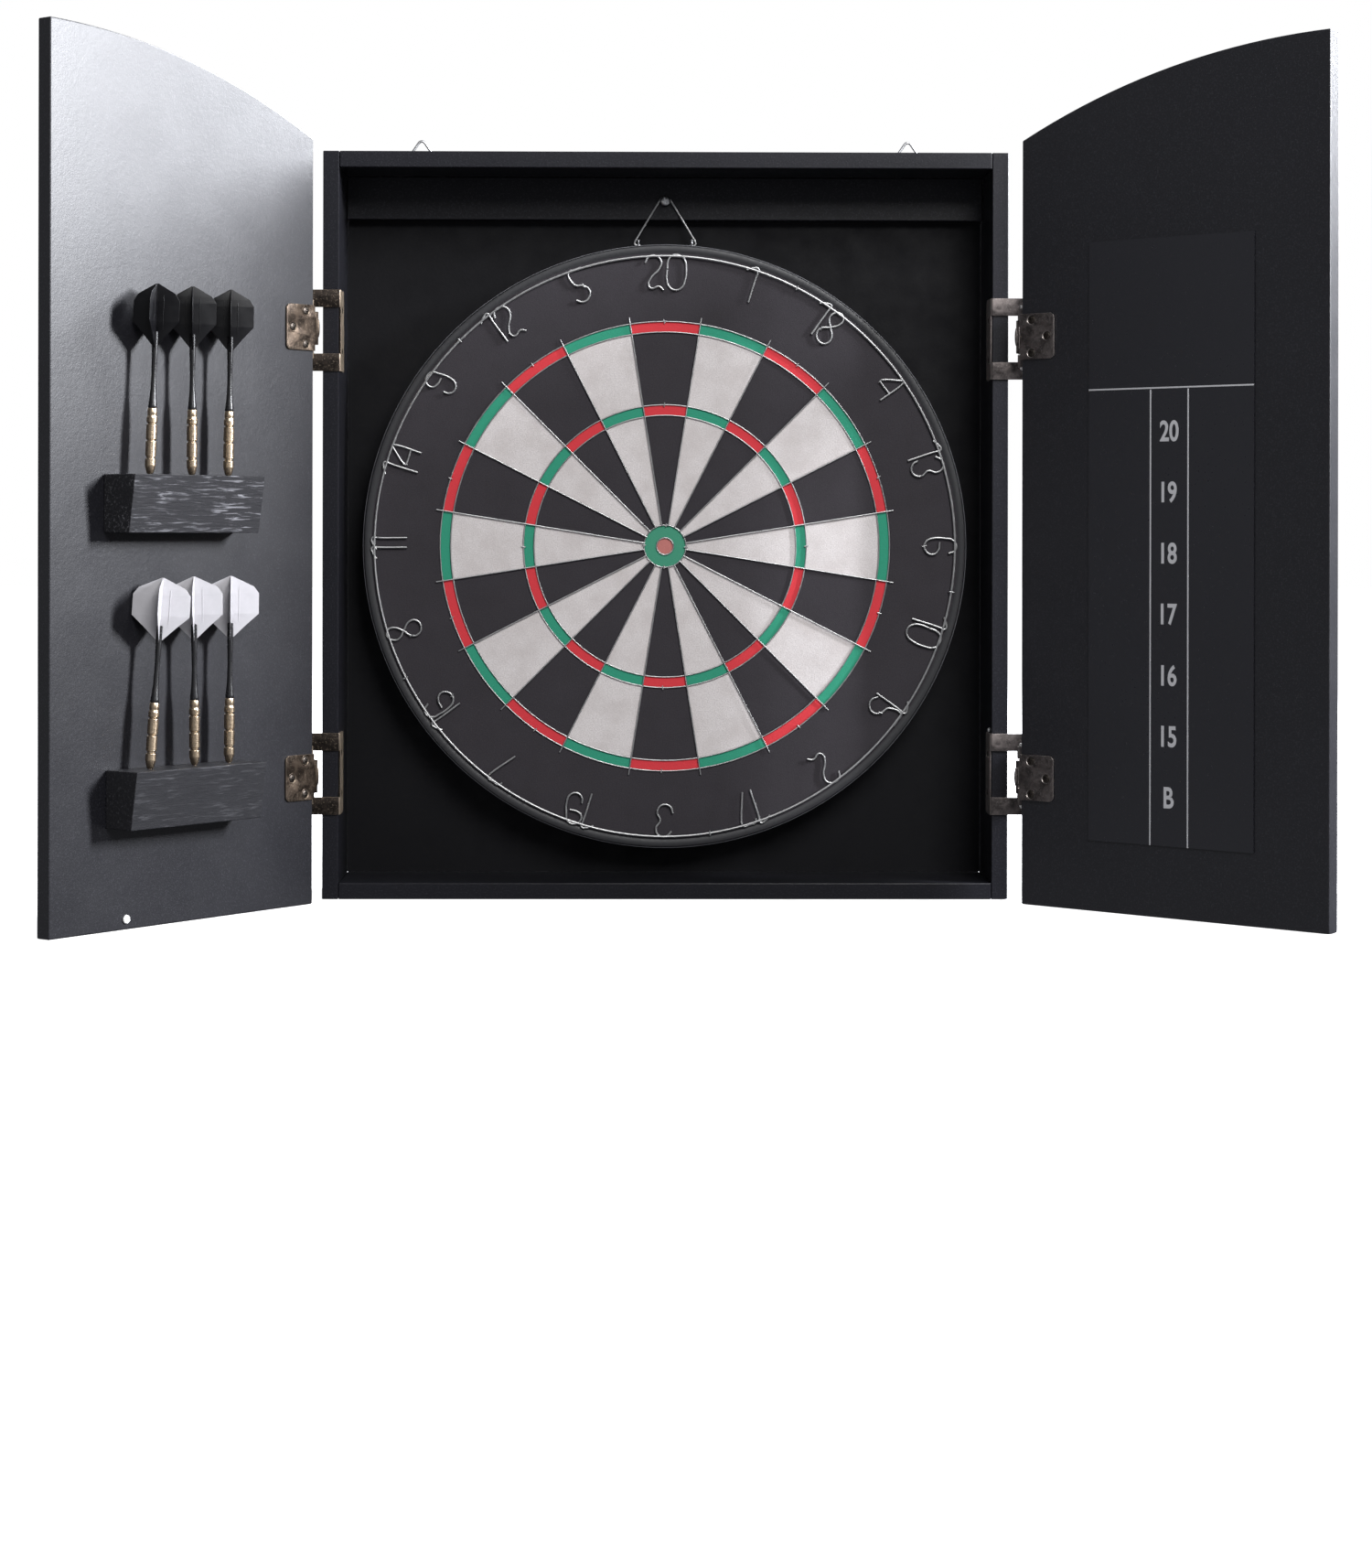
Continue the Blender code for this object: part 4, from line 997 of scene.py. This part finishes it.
def barrel_profile():
    """Grip with three grooves, a smooth collar above it and the tapered nose with its point."""
    grooves = (0.0115, 0.0235, 0.0350)
    points = [(0.0, -POINT_LENGTH), (0.0005, 0.0015 - POINT_LENGTH), (0.00105, 0.006 - POINT_LENGTH),
              (0.00115, 0.0004), (0.0019, 0.0005), (0.0024, 0.0012), (0.0036, 0.0056)]
    height = 0.0062
    while height < 0.0393:
        near = min(abs(height - groove) for groove in grooves)
        points.append((BARREL_RADIUS - (0.0009 if near < 0.0007 else 0.0), height))
        height += 0.0004
    points += [(0.0034, 0.0398), (0.0031, 0.0404), (0.0033, 0.0412), (0.0033, BARREL_TOP - 0.0006),
               (0.0030, BARREL_TOP), (0.0, BARREL_TOP)]
    return points


def knurled(radius, height, turn):
    """Two crossed helices cut into the grip."""
    if not 0.0062 <= height <= 0.0393 or radius < BARREL_RADIUS:
        return radius
    cuts = [abs(math.sin(9 * turn + way * height * 2600)) for way in (-1, 1)]
    return radius - 0.00022 * (1 - min(cuts))


def shaft_mesh(turn):
    """A waisted shaft, split crosswise at its top for the flight."""
    profile = ((0.0, BARREL_TOP), (0.0028, BARREL_TOP), (0.0031, BARREL_TOP + 0.0008), (0.0030, 0.0475),
               (0.0024, 0.0530), (0.0020, 0.0580), (0.00175, 0.0680), (0.0019, 0.0780), (0.0022, 0.0870),
               (0.0021, SHAFT_TOP - 0.0006), (0.0016, SHAFT_TOP), (0.0, SHAFT_TOP))
    body = lathe("shaft", profile, 32)
    half = 0.00052
    cutters = []
    for way in (0.0, math.pi / 2):
        corners = [(-half, -0.01), (half, -0.01), (half, 0.01), (-half, 0.01)]
        spin = Matrix.Rotation(turn + way, 4, "Z")
        cutters.append(prism("slot", [corners], SLOT_BOTTOM, 0.12, 0.00002, spin))
    return applied(body, cutters, "shaft")


def flight_mesh(name, turn, radius):
    """Two crossed films with rounded shoulders, each fin with a faint rib."""
    thick = 0.00034
    tail = DART_LENGTH - 0.044
    half = [(0.0009, SLOT_BOTTOM + 0.0004), (0.0011, tail), (0.55 * radius, DART_LENGTH - 0.0345),
            (radius, DART_LENGTH - 0.0265), (radius, DART_LENGTH - 0.012), (0.82 * radius, DART_LENGTH - 0.0072),
            (0.0008, DART_LENGTH)]
    outline = half + [(-x, z) for x, z in reversed(half)]
    upright = Matrix.Rotation(math.pi / 2, 4, "X")
    parts = []
    for way in (0.0, math.pi / 2):
        sheet = prism("fin", [rounded(outline, 0.0007, 3)], -thick / 2, thick / 2, 0.00008)
        parts.append(moved(sheet, Matrix.Rotation(turn + way, 4, "Z") @ upright))
        for side in (-1, 1):
            left, right = (side * 0.3 * radius + half_rib for half_rib in (-0.0003, 0.0003))
            foot, head = tail + 0.012, DART_LENGTH - 0.0085
            corners = ((left, foot), (right, foot), (right, head), (left, head))
            rib = rounded(corners, 0.00025, 2)
            sheet = prism("rib", [rib], -0.00030, 0.00030, 0.0001)
            parts.append(moved(sheet, Matrix.Rotation(turn + way, 4, "Z") @ upright))
    return merged(name, parts)


def make_darts(level, brass, plastic, film):
    low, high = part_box(f"dart_holder_{level}")
    places = zip(DART_RESTS[level], DART_LEANS[level], FLIGHT_TURNS[level])
    for number, (from_edge, lean, spin) in enumerate(places, 1):
        dart = f"dart_{level}_{number}"
        turn = math.radians(spin)
        at = DOORS[-1] @ Matrix.Translation(door_point(-1, from_edge, DART_FROM_DOOR, high.z))
        at = at @ Matrix.Rotation(-math.radians(lean), 4, "Y")
        mesh = lathe(f"{dart}_grip", barrel_profile(), 72, radius_at=knurled)
        add_piece(mesh.name, mesh, brass, dart, (f"{dart}_barrel",), at, 60.0)
        mesh = shaft_mesh(turn)
        add_piece(f"{dart}_stem", mesh, plastic, dart, (f"{dart}_shaft",), at)
        mesh = flight_mesh(f"{dart}_fins", turn, FLIGHT_RADIUS[level])
        add_piece(mesh.name, mesh, film, dart, (f"{dart}_flight",), at)


def make_holders():
    # The upper holder gets much stronger light streaks than the lower: painted light for the brightly lit part of
    # the door it sits on.
    for level, streaks_and_light in (("upper", 1.0), ("lower", 0.18)):
        dress(f"dart_holder_{level}", wood_finish(f"black_wood_{level}", door_turn(-1), streaks_and_light))


# ---------------------------------------------------------------- fittings on the doors

SHEET_EDGES = (0.0594, 0.1960)
RULE_TOP = 0.0984
COLUMN = (0.1118, 0.1429)
NUMERALS = ("20", "19", "18", "17", "16", "15", "B")
NUMERAL_TOP = 0.0676
NUMERAL_PITCH = 0.04335
NUMERAL_HEIGHT = 0.0151
RULE = 0.0011


def make_score_panel(sheet, print_grey):
    low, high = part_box("score_panel")
    dress("score_panel", sheet)
    face = 0.0003 + 0.0008
    rules = [
        ((SHEET_EDGES[0], RULE_TOP - RULE / 2), (SHEET_EDGES[1], RULE_TOP + RULE / 2)),
        ((COLUMN[0] - RULE / 2, low.z), (COLUMN[0] + RULE / 2, RULE_TOP - RULE)),
        ((COLUMN[1] - RULE / 2, low.z), (COLUMN[1] + RULE / 2, RULE_TOP - RULE)),
    ]
    upright = Matrix(((-1, 0, 0, -PIN_OUT), (0, 0, 1, PIN_FORWARD + face), (0, 1, 0, 0), (0, 0, 0, 1)))
    parts = []
    for (left, bottom), (right, top) in rules:
        corners = [(left, bottom), (right, bottom), (right, top), (left, top)]
        parts.append(prism("rule", [corners], 0.00002, 0.00012, 0.00001, upright))
    middle = sum(COLUMN) / 2
    for index, text in enumerate(NUMERALS):
        numeral = numeral_mesh(text)
        height = NUMERAL_TOP - index * NUMERAL_PITCH
        place = Matrix.Translation((-middle - PIN_OUT, PIN_FORWARD + face + 0.00007, height))
        turned = Matrix(((1, 0, 0, 0), (0, 0, 1, 0), (0, 1, 0, 0), (0, 0, 0, 1)))
        mirror = Matrix.Diagonal((-1.0, 1.0, 1.0, 1.0))
        parts.append(moved(numeral, place @ turned @ mirror))
    mesh = merged("score_print", parts)
    add_piece(mesh.name, mesh, print_grey, "right_door", matrix=DOORS[1])


def numeral_mesh(text):
    """A condensed bold numeral, centred, as a thin raised print."""
    curve = bpy.data.curves.new("numeral", "FONT")
    curve.body = text
    curve.align_x = "CENTER"
    curve.align_y = "BOTTOM_BASELINE"
    curve.size = 1.0
    curve.offset = 0.022
    curve.extrude = 0.5
    mesh = curve_mesh(curve)
    heights = [vertex.co.y for vertex in mesh.vertices]
    bottom, top = min(heights), max(heights)
    scale = NUMERAL_HEIGHT / (top - bottom)
    sideways = [vertex.co.x for vertex in mesh.vertices]
    centre = (min(sideways) + max(sideways)) / 2
    size = Matrix.Diagonal((0.78 * scale, scale, 0.0001, 1.0))
    mesh.transform(size @ Matrix.Translation((-centre, -(bottom + top) / 2, 0.0)))
    return mesh


def make_bumper(rubber):
    low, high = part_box("door_bumper")
    radius = (high.z - low.z) / 2
    tall = 0.0015
    profile = ((0.0, 0.0), (radius, 0.0), (radius, 0.5 * tall), (0.86 * radius, 0.85 * tall),
               (0.55 * radius, tall), (0.0, tall))
    at = DOORS[-1] @ Matrix.Translation(door_point(-1, 0.185, 0.0003, (low.z + high.z) / 2))
    mesh = lathe("door_bumper_look", profile, 28)
    add_piece(mesh.name, mesh, rubber, "left_door", ("door_bumper",),
              at @ Matrix.Rotation(-math.pi / 2, 4, "X"))


# ---------------------------------------------------------------- stage


def make_camera():
    data = bpy.data.cameras.new("camera")
    data.lens = 71.04
    data.shift_x = 0.0140
    data.shift_y = -0.1630
    camera = bpy.data.objects.new("camera", data)
    bpy.context.scene.collection.objects.link(camera)
    camera.location = (-0.03138, -2.38098, -0.00215)
    camera.rotation_euler = (math.radians(90), math.radians(-0.10), math.radians(-0.75))
    bpy.context.scene.camera = camera


def add_light(name, at, towards, size, power, colour=(1.0, 1.0, 1.0)):
    data = bpy.data.lights.new(name, "AREA")
    data.shape = "RECTANGLE"
    data.size, data.size_y = size
    data.energy = power
    data.color = colour
    lamp = bpy.data.objects.new(name, data)
    bpy.context.scene.collection.objects.link(lamp)
    lamp.location = at
    lamp.rotation_euler = (Vector(towards) - Vector(at)).to_track_quat("-Z", "Y").to_euler()
    lamp.visible_camera = False


def make_lights():
    add_light("window", (1.6, 1.12, 1.1), (-0.3, -0.15, 0.15), (1.3, 1.2), 330.0, (0.93, 0.95, 1.0))
    add_light("side", (1.9, -0.66, 0.8), (-0.35, -0.2, 0.1), (0.3, 0.7), 150.0, (0.93, 0.95, 1.0))
    add_light("front", (0.9, -2.6, 1.7), (0.0, -0.05, 0.0), (1.4, 1.4), 86.0)
    world = bpy.data.worlds.new("room")
    bpy.context.scene.world = world
    world.use_nodes = True
    tree = world.node_tree
    room = tree.nodes["Background"]
    room.inputs["Color"].default_value = (0.92, 0.94, 1.0, 1.0)
    room.inputs["Strength"].default_value = 0.28
    page = tree.nodes.new("ShaderNodeBackground")
    page.inputs["Color"].default_value = (1.0, 1.0, 1.0, 1.0)
    mix = tree.nodes.new("ShaderNodeMixShader")
    seen = tree.nodes.new("ShaderNodeLightPath")
    tree.links.new(seen.outputs["Is Camera Ray"], mix.inputs[0])
    tree.links.new(room.outputs[0], mix.inputs[1])
    tree.links.new(page.outputs[0], mix.inputs[2])
    tree.links.new(mix.outputs[0], tree.nodes["World Output"].inputs["Surface"])


def make_floor():
    """A plain pale floor just under the box and the doors."""
    finish = Finish("pale_floor", (0.85, 0.85, 0.85), 0.8, Emission_Strength=0.9)
    finish.put("Emission Color", (1.0, 1.0, 1.0, 1.0))
    half = 12.0
    shape = bmesh.new()
    corners = [shape.verts.new((x, y, 0.0)) for x, y in ((-half, -half), (half, -half), (half, half), (-half, half))]
    shape.faces.new(corners)
    mesh = to_mesh(shape, "floor")
    mesh.materials.append(finish.material)
    floor = bpy.data.objects.new("floor", mesh)
    bpy.context.scene.collection.objects.link(floor)
    floor.location.z = CAD_BOX[0].z - 0.0004
    floor.visible_glossy = False
    floor.visible_diffuse = False


def main():
    steel = metal_finish("wire_steel", (0.5, 0.5, 0.5), 0.46)
    zinc = metal_finish("zinc_steel", (0.58, 0.58, 0.59), 0.36)
    pin = metal_finish("pin_steel", (0.75, 0.73, 0.7), 0.18)
    band = metal_finish("band_steel", (0.2, 0.2, 0.215), 0.4)
    brass = metal_finish("barrel_brass", (0.56, 0.44, 0.31), 0.3, 900.0)
    dark_screw = metal_finish("dark_screw", (0.07, 0.06, 0.052), 0.42)
    plastic = plastic_finish("black_plastic", (0.009, 0.009, 0.01), 0.28)
    black_film = plastic_finish("black_film", (0.004, 0.004, 0.005), 0.34, Specular_IOR_Level=0.25)
    white_film = plastic_finish("white_film", (0.46, 0.45, 0.47), 0.4, Specular_IOR_Level=0.3)
    rubber = plastic_finish("white_rubber", (0.75, 0.75, 0.74), 0.55)
    print_grey = plastic_finish("print_grey", (0.5, 0.5, 0.52), 0.5)
    make_camera()
    make_lights()
    make_floor()
    dress_box()
    make_hanging_screw(zinc)
    make_peg(rubber)
    make_hangers(zinc)
    make_hinges(pin, dark_screw)
    make_board_face(fibre_finish(), rim_finish(), chipboard_finish(), band)
    make_spider(steel)
    make_number_ring(steel)
    make_bail(steel, zinc)
    make_holders()
    make_darts("upper", brass, plastic, black_film)
    make_darts("lower", brass, plastic, white_film)
    make_score_panel(sheet_finish(), print_grey)
    make_bumper(rubber)
    bpy.context.scene.view_settings.view_transform = "Standard"


main()
